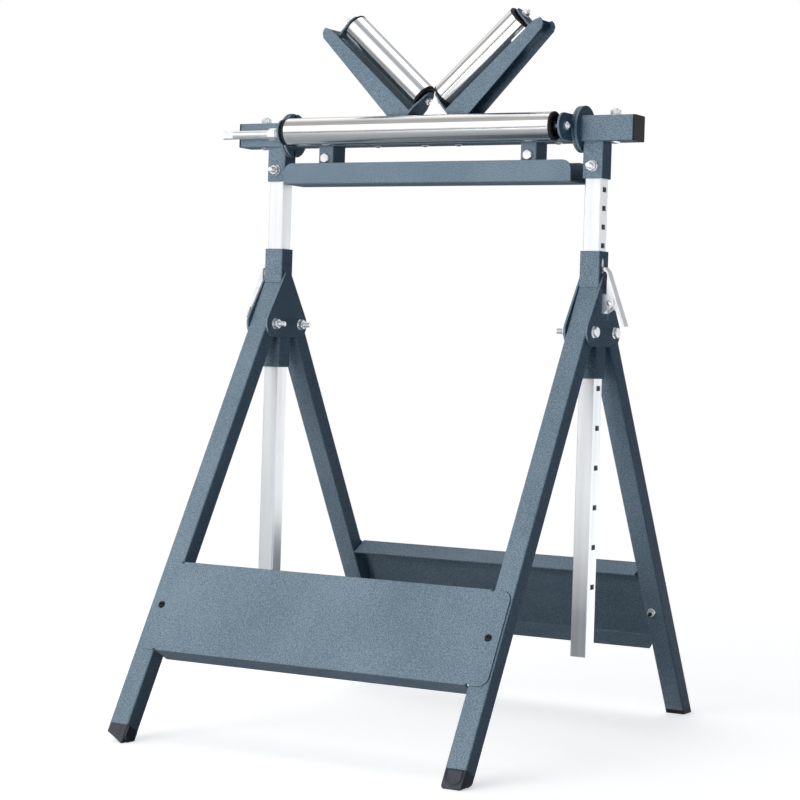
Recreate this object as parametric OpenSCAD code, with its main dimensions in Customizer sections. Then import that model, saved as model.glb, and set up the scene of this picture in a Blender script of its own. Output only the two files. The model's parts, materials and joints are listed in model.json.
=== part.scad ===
// Folding roller stand with a turning head: two V rollers, one straight roller and one flat rest.
// Millimetres. +X runs along the beam, the front is -Y, +Z is up and the floor is at Z = 0.

/* [Posts and sleeves] */
// Distance between the two post centres
post_span = 520; // [480:10:700]
// Width of the square post tube
post_w = 25; // [22:0.5:30]
// Wall of the post tube
post_wall = 2; // [1.2:0.1:3]
// Distance of the posts' lower ends below the leg pivots
post_low = 451.5; // [400:0.5:456]
// Play between the post and its sleeve, each side
slide_play = 0.5; // [0.3:0.1:0.8]
// Wall of the sleeve tube
sleeve_wall = 2.3; // [1.5:0.1:3]
// Distance of the sleeves' lower ends below the leg pivots
sleeve_low = 64.5; // [48:0.5:98]
// Height of the sleeves' upper ends above the leg pivots
sleeve_high = 112.5; // [106:0.5:140]
// Height of the post heads' lower ends above the leg pivots
head_low = 213.5; // [192:0.5:222]

/* [Notches and latch] */
// Width of the notches in the posts
notch_w = 12.6; // [10:0.1:14]
// Height of the notches in the posts
notch_h = 7; // [6:0.1:8]
// Height of the notch that the latch holds above the leg pivots
notch_z = 87.9; // [86:0.1:90]
// Spacing of the notches from the held one downwards
long_pitch = 55.3; // [40:0.1:60]
// Number of notches from the held one downwards
long_count = 9; // [4:1:9]
// Distance from the held notch to the lowest close notch above it
short_start = 32.6; // [28:0.1:40]
// Spacing of the close notches above the sleeve
short_pitch = 26; // [20:0.5:28]
// Number of close notches above the sleeve
short_count = 4; // [2:1:4]
// Height of the latch pin above the leg pivots
latch_z = 40.9; // [38:0.1:44]
// Distance of the latch pin from the post centre
latch_x = 29; // [28:0.5:30]
// Width of the latch lever
lever_w = 14; // [13:0.5:16]
// Sheet of the latch lever and its bracket
lever_t = 2; // [1.5:0.1:2.2]
// Distance of the lever's lower end from the post centre
lever_reach = 52.1; // [50:0.1:56]
// Height of the lever's lower end above the leg pivots
lever_low = 8.8; // [4:0.1:14]
// Lean of the lever from upright, in degrees
lever_lean = 20.2; // [18:0.1:22]
// Height of the lower end of the lever's flanges above its own lower end
lever_bare = 16.2; // [10:0.1:20]

/* [Legs] */
// Distance of each leg pivot from the post centre
pivot_y = 35; // [33:0.5:40]
// Lean of the open legs from upright, in degrees
leg_lean = 29.8; // [26:0.1:32]
// Width of the leg tube, along the beam
leg_w = 30; // [26:0.5:34]
// Depth of the leg tube
leg_depth = 28; // [24:0.5:30]
// Wall of the leg tube
leg_wall = 2; // [1.2:0.1:3]
// Length of a front leg from its pivot to its square cut
leg_length = 645; // [600:1:700]
// Height above the floor of the middle of that cut
front_cut_h = 17.79; // [12:0.01:24]
// Height of the level cut at the foot of a rear leg
rear_foot_h = 6.5; // [4:0.5:12]
// Length of the foot plugs inside the legs
plug_length = 20; // [10:1:40]
// Thickness of the gusset plates
gusset_t = 3; // [2:0.5:4]
// Corner radius of the gussets round the pivots
gusset_foot_r = 20; // [17:0.5:22]
// Height of the gussets' upper tips above the leg pivots
gusset_top = 80.5; // [72:0.5:84]

/* [Panels] */
// Distance from the panel's lower edge down the leg to the front leg's square cut
panel_clear = 110; // [80:1:150]
// Height of the panel sheet
panel_h = 134; // [100:1:160]
// Panel sheet thickness
panel_t = 2; // [1.5:0.1:2.5]
// Depth of the panel's folded edges
panel_fold = 33; // [20:1:34]
// How far the panel sheet reaches past the post centre
panel_past = 12; // [10:0.5:16]
// Radius of the panel's corners
panel_corner_r = 14; // [6:1:20]
// Distance of the panel bolts inside the post centre
panel_bolt_in = 4; // [0:0.5:6]

/* [Turning head] */
// Height of the turning axis above the leg pivots
turn_z = 282.5; // [272:0.5:298]
// Distance of the turning axis in front of the posts
turn_y = 3; // [0:0.5:3]
// Side of the square beam and end tubes
beam_w = 36; // [34:0.5:40]
// Wall of the beam and end tubes
beam_wall = 2.3; // [1.5:0.1:3]
// Distance from a post centre to the outer face of its end cap
end_reach = 63.6; // [58:0.1:120]
// Distance from a post centre to the fixed disc's outer face
disc_inset = 16.5; // [16:0.5:20]
// Radius of the discs
disc_r = 33; // [33:0.5:36]
// Thickness of the discs
disc_t = 4; // [3:0.5:5]
// Gap between a fixed and a turning disc
disc_gap = 1; // [0.5:0.1:2]
// Diameter of the spindles
spindle_d = 16; // [12:0.5:20]
// Length of a spindle
spindle_l = 41; // [35:1:44]
// Radial running clearance of spindles and roller axles
run_play = 0.1; // [0.05:0.01:0.1]

/* [Index pin] */
// Distance of the index pin from the turning axis
index_r = 26; // [26:0.5:28]
// Diameter of the index pin's plunger
plunger_d = 8; // [6:0.5:8]
// Diameter of the index pin's pull rod
pull_rod_d = 13; // [10:0.5:14]
// Length of the pull rod outside its guide
pull_rod_l = 82; // [60:1:120]
// Length of the flats at the pull rod's end
grip_l = 19; // [10:1:40]
// Thickness between these flats
grip_t = 8; // [6:0.5:9]
// Length of the guide's hexagon
guide_hex_l = 12.5; // [11:0.5:20]
// Distance across the flats of the guide's hexagon
guide_across = 16; // [16:0.5:19]

/* [Straight roller] */
// Diameter of the straight roller
straight_d = 40; // [36:1:44]
// Gap between the straight roller's left cap and the left ear
straight_left_gap = 5.5; // [1:0.5:20]
// Gap between the straight roller's right cap and the right ear
straight_right_gap = 10.5; // [1:0.5:20]
// Distance of the left ear inside the left disc
left_ear_in = 10; // [0:0.5:20]
// Distance of the straight roller's axis in front of the turning axis
straight_y = 52; // [48:1:56]
// Thickness of the roller ears
ear_t = 3; // [2:0.5:4]
// Radius of the rounded end of a roller ear
ear_r = 18.5; // [14:0.5:20]

/* [V rollers] */
// Diameter of the V rollers
v_d = 38; // [32:1:40]
// Length of a V roller with its caps
v_l = 164.6; // [120:0.1:180]
// Angle of the V rollers above level, in degrees
v_angle = 42; // [40:0.5:45]
// Distance from the middle to the lower end of a V roller's axis
v_low_x = 15.5; // [15:0.5:22]
// Height of the lower end of a V roller's axis above the turning axis
v_low_z = 51; // [49:0.5:60]
// Distance from a V roller's axis to the arm's plate
v_plate_drop = 24.5; // [22:0.5:28]
// Sheet thickness of the V arms
arm_t = 2.5; // [2:0.1:3]
// Depth of the arm's walls below the roller axis at the lower end
arm_deep = 56; // [52:1:60]
// Depth of the arm's walls below the roller axis at the upper end
arm_shallow = 41; // [38:1:50]
// Length of the arm past the roller's lower end
arm_l = 190; // [150:1:206]
// Half width of the ear punched up at an arm's upper end
tab_half = 13; // [10:0.5:14]

/* [Flat rest] */
// Gap between an end of the flat rest and the post head
rest_gap = 9.7; // [5:0.1:30]
// Width of the flat rest
rest_w = 60; // [50:1:70]
// Distance from the turning axis to the working face of the flat rest
rest_drop = 75; // [70:1:80]
// Height of the rest's walls
rest_wall_h = 31; // [20:1:34]
// Sheet thickness of the flat rest
rest_t = 2.5; // [2:0.1:3]
// Radius of the rest's wall ends
rest_corner_r = 14; // [8:1:18]
// Distance of the left lug from the rest's left end
left_lug_in = 65; // [40:1:90]
// Distance of the right lug from the rest's right end
right_lug_in = 72; // [40:1:90]
// Width of a lug along the beam
lug_w = 25; // [20:0.5:32]

/* [Rivets under the beam] */
// Distance of the end rivet from the beam's right end
end_rivet_in = 33.5; // [28:0.5:60]
// Place of the rivet under the left V arm, from the middle
left_rivet_x = -92; // [-110:1:-60]
// Place of the middle rivet
middle_rivet_x = -13; // [-30:1:20]
// Place of the rivet under the right V arm, from the middle
right_rivet_x = 42; // [40:1:110]

/* [Fasteners] */
// Diameter of the pivot, post head, lug and lock bolts
bolt_d = 8; // [7:0.5:8]
// Diameter of the panel bolts, the rivets and the rollers' axles
small_bolt_d = 6; // [5:0.5:6]
// Diametral clearance of holes and nuts on their bolts
bolt_play = 0.2; // [0.1:0.1:0.4]
// Thickness of the washers
washer_t = 1.6; // [1:0.1:2]

/* [Hidden] */
paint = [0.38, 0.45, 0.53];
dark_paint = [0.30, 0.37, 0.46];
zinc = [0.82, 0.83, 0.84];
steel = [0.74, 0.75, 0.77];
black = [0.12, 0.12, 0.13];
rubber = [0.2, 0.21, 0.22];
eps = 0.01;
far = 400;
fine = 64;
sleeve_w = post_w + 2 * slide_play + 2 * sleeve_wall;
tube_r = 2.2;
post_half = post_span / 2;
pivot_z = leg_length * cos(leg_lean) + front_cut_h;
head_top = turn_z - beam_w / 2;
post_room = 4;
post_top = head_top - post_room;
head_bolt_up = 17;
head_bolt_z = head_low + head_bolt_up;
gusset_in = sleeve_w / 2;
gusset_out = gusset_in + gusset_t;
gusset_apex_r = 8;
bolt_hole_d = bolt_d + bolt_play;
small_hole_d = small_bolt_d + bolt_play;
bolt_across = bolt_d * 1.625;
bolt_head_h = bolt_d * 0.66;
nut_h = bolt_d * 0.81;
washer_d = bolt_d * 2;
small_across = small_bolt_d * 1.667;
small_nut_h = small_bolt_d * 0.83;
small_washer_d = small_bolt_d * 2;
leg_stop_gap = 0.3;
leg_over = 90;
panel_middle = leg_length - panel_clear - panel_h / 2;
fold_half = post_half - leg_w / 2 - 1;
panel_bolt_x = post_half - panel_bolt_in;
fixed_out = post_half - disc_inset;
fixed_in = fixed_out - disc_t;
turn_out = fixed_in - disc_gap;
turn_in = turn_out - disc_t;
beam_half = post_half + end_reach;
cap_lip = 2.6;
tube_end = beam_half - cap_lip;
block_w = beam_w - 2 * beam_wall - 0.4;
block_start = fixed_out + 2.5;
spindle_end = turn_out + spindle_l;
lock_x = spindle_end + bolt_d / 2 + 4;
block_end = lock_x + 8;
guide_y = turn_y + beam_w / 2 + guide_across / 2;
guide_neck_l = 8;
guide_in = fixed_out;
guide_hex_in = guide_in + guide_neck_l;
guide_out = guide_hex_in + guide_hex_l;
pull_rod_end = guide_out + pull_rod_l;
frame_shift = (pull_rod_end - beam_half) / 2;
guide_bore_d = plunger_d + 3;
guide_floor_t = 3;
spring_seat = guide_out - guide_floor_t;
collar_t = 1.5;
collar_in = guide_in + 1.2;
seat_gap = 0.3;
index_spring_wire = 0.8;
coil_end_gap = 0.3;
index_slot_w = plunger_d + 0.6;
roller_wall = 2;
cap_flange_t = 4;
cap_plug_l = 14;
axle_d = small_bolt_d;
ear_in = turn_in - ear_t;
straight_left = -ear_in + left_ear_in + straight_left_gap;
straight_l = ear_in - straight_right_gap - straight_left;
v_gap = 2.5;
v_low_ear = -v_gap;
v_top_ear = v_l + v_gap;
arm_half = beam_w / 2;
rest_half = post_half - sleeve_w / 2 - rest_gap;
hole_w = 15;
hole_r = 4;
hole_bottom = notch_z - 6;
hole_h = 21;
tooth_w = notch_w - 1;
tooth_h = notch_h - 2;
tooth_top = notch_z + tooth_h / 2;
tooth_tip = post_w / 2 + 0.3;
lever_dx = lever_t / cos(lever_lean);
lever_bend = 6;
latch_pin_d = 5;
bracket_low = 14.4;
bracket_h = 27;
bracket_tip_r = 6.6;
spring_wire = 1.2;
spring_reach = 12;

// Shared placing

// The children's heights are measured from the leg pivots
module place() {
    translate([frame_shift, 0, pivot_z]) children();
}

// Side -1 is the left post and 1 the right; the children's +X points outwards
module at_post(side) {
    translate([side * post_half, 0, 0]) mirror([side < 0 ? 1 : 0, 0, 0]) children();
}

module both_posts() {
    for (side = [-1, 1]) place() at_post(side) children();
}

// End -1 is the front and 1 the rear; the children's -Z points down the leg and -Y outwards
module at_pivot(end) {
    mirror([0, end > 0 ? 1 : 0, 0])
        translate([0, -pivot_y, 0]) rotate([-leg_lean, 0, 0]) children();
}

module on_axis() {
    place() translate([0, -turn_y, turn_z]) children();
}

// The children's +X runs up a V roller's axis from its lower end, +Z towards the work
module at_v(side) {
    on_axis() mirror([side < 0 ? 1 : 0, 0, 0])
        translate([v_low_x, 0, v_low_z]) rotate([0, -v_angle, 0]) children();
}

// Shared shapes

module rounded_square(w, d, r) {
    square([w - 2 * r, d], center = true);
    square([w, d - 2 * r], center = true);
    for (x = [-1, 1], y = [-1, 1])
        translate([x * (w / 2 - r), y * (d / 2 - r)]) circle(r = r, $fn = 32);
}

module tube_profile(w, d, wall) {
    difference() {
        rounded_square(w, d, tube_r);
        rounded_square(w - 2 * wall, d - 2 * wall, 0.8);
    }
}

// A bar along X between two places
module x_bar(d, from, to) {
    translate([from, 0, 0]) rotate([0, 90, 0]) cylinder(d = d, h = to - from, $fn = fine);
}

// A hexagon prism along X between two places, with flats facing front and back
module x_hex(across, from, to) {
    translate([from, 0, 0]) rotate([0, 90, 0])
        cylinder(d = across / cos(30), h = to - from, $fn = 6);
}

// A nut along X that starts at a place
module x_nut(d, across, from, height) {
    difference() {
        x_hex(across, from, from + height);
        x_bar(d + bolt_play, from - 1, from + height + 1);
    }
}

module x_washer(d, outer, from, t) {
    difference() {
        x_bar(outer, from, from + t);
        x_bar(d + bolt_play, from - 1, from + t + 1);
    }
}

// A round-ended button head along X, its flat face at a place and its dome towards -X
module x_button(d, from, height) {
    translate([from, 0, 0]) rotate([0, -90, 0]) rotate_extrude($fn = fine) intersection() {
        translate([0, height - d * 0.62]) circle(r = d * 0.62, $fn = fine);
        square([d / 2, height]);
    }
}

// A round wire along a list of points; side gives a direction that the path never follows
module wire(path, r, side) {
    n = 6;
    last = len(path) - 1;
    frame = [for (i = [0:last])
        let (ahead = path[min(i + 1, last)] - path[max(i - 1, 0)], t = ahead / norm(ahead),
            u = cross(t, side) / norm(cross(t, side)), v = cross(t, u))
        for (j = [0:n - 1]) path[i] + r * (cos(j * 360 / n) * u + sin(j * 360 / n) * v)];
    walls = [for (i = [0:last - 1], j = [0:n - 1])
        let (a = i * n + j, b = i * n + (j + 1) % n)
        for (face = [[a, b + n, b], [a, a + n, b + n]]) face];
    first_cap = [for (j = [1:n - 2]) [0, j, j + 1]];
    last_cap = [for (j = [1:n - 2]) [last * n, last * n + j + 1, last * n + j]];
    polyhedron(points = frame, faces = concat(walls, first_cap, last_cap));
}

// Smallest gap of a coil to itself, from neighbouring turns
function coil_gap(pitch, wire_d) = pitch - wire_d;

// Posts, sleeves and post heads

module post() {
    difference() {
        translate([0, 0, -post_low]) linear_extrude(post_top + post_low)
            tube_profile(post_w, post_w, post_wall);
        for (k = [0:long_count - 1]) notch(notch_z - k * long_pitch);
        for (k = [0:short_count - 1]) notch(notch_z + short_start + k * short_pitch);
        head_bolt_hole();
    }
}

module notch(z) {
    translate([post_w / 2 - post_wall - 1, -notch_w / 2, z - notch_h / 2])
        cube([post_wall + 2, notch_w, notch_h]);
}

module head_bolt_hole() {
    translate([0, -far / 2, head_bolt_z]) rotate([-90, 0, 0])
        cylinder(d = bolt_hole_d, h = far, $fn = fine);
}

module sleeve() {
    difference() {
        translate([0, 0, -sleeve_low]) linear_extrude(sleeve_high + sleeve_low)
            tube_profile(sleeve_w, sleeve_w, sleeve_wall);
        latch_hole();
    }
}

module latch_hole() {
    translate([post_w / 2, 0, hole_bottom + hole_h / 2]) rotate([90, 0, 90])
        linear_extrude(sleeve_w) rounded_square(hole_w, hole_h, hole_r);
}

module post_head() {
    difference() {
        translate([0, 0, head_low]) linear_extrude(head_top - head_low)
            tube_profile(sleeve_w, sleeve_w, sleeve_wall);
        head_bolt_hole();
    }
}

module post_head_bolt() {
    translate([0, 0, head_bolt_z]) rotate([0, 0, -90]) {
        x_hex(bolt_across, -gusset_in - bolt_head_h, -gusset_in);
        x_bar(bolt_d, -gusset_in - eps, gusset_in + washer_t + nut_h + 9);
        x_washer(bolt_d, washer_d, gusset_in, washer_t);
        x_nut(bolt_d, bolt_across, gusset_in + washer_t, nut_h);
    }
}

// Gussets and leg pivots

module gusset() {
    difference() {
        rotate([90, 0, 90]) linear_extrude(gusset_t) hull() {
            for (y = [-pivot_y, pivot_y])
                translate([y, 0]) circle(r = gusset_foot_r, $fn = 48);
            translate([0, gusset_top - gusset_apex_r]) circle(r = gusset_apex_r, $fn = 32);
        }
        for (y = [-pivot_y, pivot_y])
            translate([-1, y, 0]) rotate([0, 90, 0])
                cylinder(d = bolt_hole_d, h = gusset_t + 2, $fn = fine);
    }
}

module gusset_pair() {
    for (x = [gusset_in, -gusset_out]) translate([x, 0, 0]) gusset();
}

module each_pivot() {
    both_posts() for (y = [-pivot_y, pivot_y]) translate([0, y, 0]) children();
}

module pivot_bolt() {
    x_hex(bolt_across, gusset_out + washer_t, gusset_out + washer_t + bolt_head_h);
    x_bar(bolt_d, -gusset_out - washer_t - nut_h - 10.5, gusset_out + washer_t + eps);
}

// Latches

module latch_bracket() {
    half = lever_w / 2 + 0.3;
    low = latch_z - bracket_low;
    top = low + bracket_h;
    back = gusset_out + lever_t;
    tip = [latch_x + bracket_tip_r * sin(40), bracket_tip_r * cos(40)];
    translate([gusset_out, -half - lever_t, low]) cube([lever_t, 2 * (half + lever_t), bracket_h]);
    for (y = [-half - lever_t, half]) translate([0, y, 0]) difference() {
        translate([0, lever_t, 0]) rotate([90, 0, 0]) linear_extrude(lever_t) {
            polygon([[gusset_out, low], [back, low], [tip.x, latch_z - tip.y],
                [tip.x, latch_z + tip.y], [back, top], [gusset_out, top]]);
            translate([latch_x, latch_z]) circle(r = bracket_tip_r, $fn = fine);
        }
        translate([latch_x, -1, latch_z]) rotate([-90, 0, 0])
            cylinder(d = latch_pin_d + bolt_play, h = lever_t + 2, $fn = fine);
    }
}

module latch_pin() {
    half = lever_w / 2 + 0.3 + lever_t;
    translate([latch_x, 0, latch_z]) rotate([0, 0, 90]) {
        x_bar(latch_pin_d, -half, half);
        x_button(latch_pin_d + 3, -half, 2);
        rotate([0, 0, 180]) x_button(latch_pin_d + 3, -half, 2);
    }
}

// Distance from the post centre to the lever's outer face at a height
function lever_x(z) = lever_reach - (z - lever_low) * tan(lever_lean);

module latch_lever() {
    shoulder = sleeve_w / 2 + 2;
    bend = tooth_top - lever_bend;
    difference() {
        union() {
            translate([0, lever_w / 2, 0]) rotate([90, 0, 0]) linear_extrude(lever_w)
                polygon([[shoulder, tooth_top], [shoulder + 2, tooth_top], [lever_x(bend), bend],
                    [lever_reach, lever_low], [lever_reach - lever_dx, lever_low],
                    [lever_x(bend) - lever_dx, bend - 1], [shoulder, tooth_top - tooth_h]]);
            for (y = [-lever_w / 2, lever_w / 2 - lever_t])
                translate([0, y + lever_t, 0]) rotate([90, 0, 0]) linear_extrude(lever_t) {
                    lever_flange(bend);
                    translate([latch_x, latch_z]) circle(r = 6, $fn = fine);
                }
            translate([tooth_tip, -tooth_w / 2, tooth_top - tooth_h])
                cube([shoulder - tooth_tip + 1, tooth_w, tooth_h]);
        }
        translate([latch_x, -lever_w, latch_z]) rotate([-90, 0, 0])
            cylinder(d = latch_pin_d + bolt_play, h = 2 * lever_w, $fn = fine);
    }
}

module lever_flange(bend) {
    low = lever_low + lever_bare;
    polygon([[lever_x(bend) - 0.6, bend], [latch_x - 5.6, latch_z + 2.2],
        [latch_x + 3.4, latch_z - 5], [lever_x(low) - 4, low], [lever_x(low) - 0.6, low]]);
}

// Torsion spring: coils on the latch pin, one end against the gusset, one against the lever
module latch_spring() {
    coil_r = latch_pin_d / 2 + 0.3 + spring_wire / 2;
    turns = 3.5;
    pitch = 1.9;
    steps = 10;
    half = turns * pitch / 2;
    start_a = 200;
    coil = [for (i = [0:turns * steps])
        let (a = start_a + i * 360 / steps)
        [latch_x + coil_r * cos(a), -half + i * pitch / steps, latch_z + coil_r * sin(a)]];
    top_z = latch_z + spring_reach;
    low_end = [latch_x - 4, -half, latch_z - 2 * spring_reach];
    top_end = [lever_x(top_z) - lever_dx - spring_wire, half, top_z];
    echo(latch_spring_gap = coil_gap(pitch, spring_wire));
    wire(concat([low_end], coil, [top_end]), spring_wire / 2, [0, 1, 0]);
}

// Legs and feet

module below_floor_cut(z) {
    translate([-far / 2, -2 * far, z - pivot_z - far]) cube([far, 4 * far, far]);
}

module leg_solid(profile_w, profile_d, from, to) {
    translate([0, 0, -to]) linear_extrude(to - from) rounded_square(profile_w, profile_d, tube_r);
}

module front_leg() {
    difference() {
        at_pivot(-1) leg_tube(leg_length);
        leg_cuts();
    }
}

module rear_leg() {
    difference() {
        at_pivot(1) leg_tube(leg_length + leg_over);
        mirror([0, 1, 0]) leg_cuts();
        below_floor_cut(rear_foot_h);
    }
}

module leg_tube(length) {
    translate([0, 0, -length]) linear_extrude(length + leg_over) tube_profile(leg_w, leg_depth, leg_wall);
}

// The cut that rests against the sleeve when the leg is open, and the bolt holes
module leg_cuts() {
    translate([-far / 2, -gusset_in - leg_stop_gap, -leg_over]) cube([far, far, far]);
    at_pivot(-1) {
        x_bar(bolt_hole_d, -far / 2, far / 2);
        translate([-panel_bolt_in, -far / 2, -panel_middle]) rotate([-90, 0, 0])
            cylinder(d = small_hole_d, h = far, $fn = fine);
    }
}

module front_foot() {
    difference() {
        at_pivot(-1) {
            leg_solid(leg_w, leg_depth, leg_length, leg_length + leg_over);
            leg_solid(leg_w - 2 * leg_wall - 0.4, leg_depth - 2 * leg_wall - 0.4,
                leg_length - plug_length, leg_length + 1);
        }
        below_floor_cut(0);
    }
}

module rear_foot() {
    difference() {
        at_pivot(1) leg_solid(leg_w, leg_depth, leg_length, leg_length + leg_over);
        below_floor_cut(0);
        translate([-far / 2, 0, rear_foot_h - pivot_z]) cube([far, 2 * far, far]);
    }
    difference() {
        at_pivot(1) leg_solid(leg_w - 2 * leg_wall - 0.4, leg_depth - 2 * leg_wall - 0.4,
            leg_length + 12 - plug_length, leg_length + leg_over);
        below_floor_cut(rear_foot_h - 1);
    }
}

// Panels

module channel_profile(height, depth, t) {
    bend_r = 3;
    difference() {
        translate([depth / 2, 0]) rounded_square(depth, height, bend_r);
        translate([t + depth / 2, 0]) rounded_square(depth, height - 2 * t, bend_r - t / 2);
        translate([depth - bend_r - 1, -height]) square([depth, 2 * height]);
    }
}

module panel() {
    front = -leg_depth / 2 - panel_t;
    relief = 5;
    difference() {
        union() {
            translate([-fold_half, front, -panel_middle]) rotate([90, 0, 90])
                linear_extrude(2 * fold_half) channel_profile(panel_h, panel_fold + 4, panel_t);
            translate([0, front + panel_t, -panel_middle]) rotate([90, 0, 0]) linear_extrude(panel_t)
                rounded_square(2 * (post_half + panel_past), panel_h, panel_corner_r);
        }
        for (x = [-1, 1], z = [-1, 1])
            translate([x * fold_half, front - 1, z * panel_h / 2 - panel_middle]) rotate([-90, 0, 0])
                cylinder(d = relief, h = panel_fold + 10, $fn = fine);
        for (x = [-1, 1]) translate([x * panel_bolt_x, front - 1, -panel_middle])
            rotate([-90, 0, 0]) cylinder(d = small_hole_d, h = 10, $fn = fine);
    }
}

module each_panel_bolt(end) {
    place() at_pivot(end) for (x = [-1, 1])
        translate([x * panel_bolt_x, 0, -panel_middle]) rotate([0, 0, 90]) children();
}

module panel_bolt() {
    front = -leg_depth / 2 - panel_t;
    socket = small_bolt_d * 0.67;
    difference() {
        union() {
            x_button(small_bolt_d * 1.75, front, small_bolt_d * 0.55);
            x_bar(small_bolt_d, front - eps, leg_depth / 2 + washer_t + small_nut_h + 3);
        }
        x_hex(socket, front - small_bolt_d, front - 1);
    }
}

module panel_nut() {
    x_washer(small_bolt_d, small_washer_d, leg_depth / 2, washer_t);
    x_nut(small_bolt_d, small_across, leg_depth / 2 + washer_t, small_nut_h);
}

// Fixed ends of the head

module end_tube() {
    difference() {
        translate([fixed_out - post_half, 0, 0]) rotate([90, 0, 90])
            linear_extrude(tube_end - fixed_out) tube_profile(beam_w, beam_w, beam_wall);
        lock_hole();
    }
}

module lock_hole() {
    translate([lock_x - post_half, 0, -beam_w])
        cylinder(d = bolt_hole_d, h = 2 * beam_w, $fn = fine);
}

module on_end(side) {
    place() translate([0, -turn_y, turn_z]) at_post(side) children();
}

module both_ends() {
    for (side = [-1, 1]) on_end(side) children();
}

module end_cap() {
    plug = beam_w - 2 * beam_wall - 0.4;
    translate([tube_end - post_half, 0, 0]) rotate([90, 0, 90]) {
        linear_extrude(cap_lip) rounded_square(beam_w, beam_w, tube_r);
        translate([0, 0, -12]) linear_extrude(12 + eps) difference() {
            rounded_square(plug, plug, 1);
            rounded_square(plug - 5, plug - 5, 1);
        }
    }
}

module fixed_disc(side) {
    difference() {
        x_bar(2 * disc_r, fixed_in - post_half, fixed_out - post_half);
        x_bar(spindle_d + 1, fixed_in - post_half - 1, fixed_out - post_half + 1);
        if (side < 0) translate([0, turn_y - guide_y, 0])
            x_bar(plunger_d + 0.5, fixed_in - post_half - 1, fixed_out - post_half + 1);
    }
}

module bearing_block() {
    difference() {
        translate([block_start - post_half, 0, 0]) rotate([90, 0, 90])
            linear_extrude(block_end - block_start) rounded_square(block_w, block_w, 1);
        x_bar(spindle_d + 2 * run_play, -far, spindle_end - post_half + 1);
        lock_hole();
    }
}

module lock_bolt() {
    low = -beam_w / 2;
    top = beam_w / 2;
    translate([lock_x - post_half, 0, 0]) rotate([0, -90, 0]) {
        x_button(bolt_d * 1.8, low, 3);
        x_bar(bolt_d, low - eps, top + washer_t + nut_h + 2.5);
        x_washer(bolt_d, washer_d, top, washer_t);
        x_nut(bolt_d, bolt_across, top + washer_t, nut_h);
    }
}

// Index pin, on the left end

module on_guide() {
    place() translate([0, -guide_y, turn_z]) mirror([1, 0, 0]) children();
}

module guide() {
    difference() {
        union() {
            x_hex(guide_across, guide_hex_in, guide_out);
            x_bar(pull_rod_d, guide_in, guide_hex_in + eps);
        }
        x_bar(guide_bore_d, guide_in - 1, spring_seat);
        x_bar(plunger_d + 2 * run_play, guide_in, guide_out + 1);
    }
}

module pull_pin() {
    rod_start = guide_out + 0.4;
    difference() {
        union() {
            x_bar(pull_rod_d, rod_start, pull_rod_end);
            x_bar(plunger_d, turn_out + seat_gap, rod_start + eps);
            x_bar(guide_bore_d - 0.4, collar_in, collar_in + collar_t);
        }
        for (side = [-1, 1]) mirror([0, side < 0 ? 1 : 0, 0])
            translate([pull_rod_end - grip_l, grip_t / 2, -pull_rod_d]) cube([far, far, 2 * pull_rod_d]);
    }
}

module coil_spring() {
    coil_r = plunger_d / 2 + 0.3 + index_spring_wire / 2;
    from = collar_in + collar_t + index_spring_wire / 2 + coil_end_gap;
    to = spring_seat - index_spring_wire / 2 - coil_end_gap;
    turns = 6;
    steps = 8;
    path = [for (i = [0:turns * steps])
        let (a = i * 360 / steps)
        [from + i * (to - from) / (turns * steps), coil_r * cos(a), coil_r * sin(a)]];
    echo(index_spring_gap = coil_gap((to - from) / turns, index_spring_wire));
    wire(path, index_spring_wire / 2, [1, 0, 0]);
}

// Turning discs, beam and ears

module turning_disc(side) {
    difference() {
        union() {
            x_bar(2 * disc_r - 1, turn_in - post_half, turn_out - post_half);
            x_bar(spindle_d, turn_out - post_half - eps, spindle_end - post_half);
        }
        if (side < 0) for (a = [0:90:270]) rotate([a, 0, 0]) index_slot();
    }
}

// A slot that is open at the rim and round at its inner end
module index_slot() {
    translate([0, -index_r, 0]) x_bar(index_slot_w, turn_in - post_half - 1, turn_out - post_half + 1);
    translate([turn_in - post_half - 1, -far, -index_slot_w / 2])
        cube([disc_t + 2, far - index_r, index_slot_w]);
}

module beam() {
    translate([-turn_in, 0, 0]) rotate([90, 0, 90])
        linear_extrude(2 * turn_in) tube_profile(beam_w, beam_w, beam_wall);
}

module each_rivet() {
    for (x = [left_rivet_x, middle_rivet_x, right_rivet_x, turn_in - end_rivet_in])
        translate([x, 0, 0]) children();
}

module beam_holes() {
    each_rivet() translate([0, 0, -beam_w]) cylinder(d = small_hole_d, h = beam_w, $fn = fine);
}

module rivets() {
    each_rivet() rotate([0, -90, 0]) {
        x_button(small_bolt_d * 1.8, -beam_w / 2, 2.6);
        x_bar(small_bolt_d, -beam_w / 2 - eps, -beam_w / 2 + beam_wall + 3);
    }
}

module roller_ear() {
    difference() {
        union() {
            translate([0, -straight_y, 0]) x_bar(2 * ear_r, ear_in, turn_in);
            translate([ear_in, -straight_y, -ear_r]) cube([ear_t, straight_y - beam_w / 2, 2 * ear_r]);
        }
        translate([0, -straight_y, 0]) x_bar(small_hole_d, ear_in - 1, turn_in + 1);
    }
}

module straight_axle_set() {
    end = turn_in + small_nut_h + 2.6;
    x_bar(axle_d, left_ear_in - end, end);
    both_ears() x_nut(axle_d, small_across, turn_in, small_nut_h);
}

// Places the children at the right ear, and mirrored at the left one
module both_ears() {
    children();
    translate([left_ear_in, 0, 0]) mirror([1, 0, 0]) children();
}

// Rollers

module roller_tube(d, length) {
    difference() {
        x_bar(d, cap_flange_t, length - cap_flange_t);
        x_bar(d - 2 * roller_wall, 0, length);
    }
}

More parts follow.
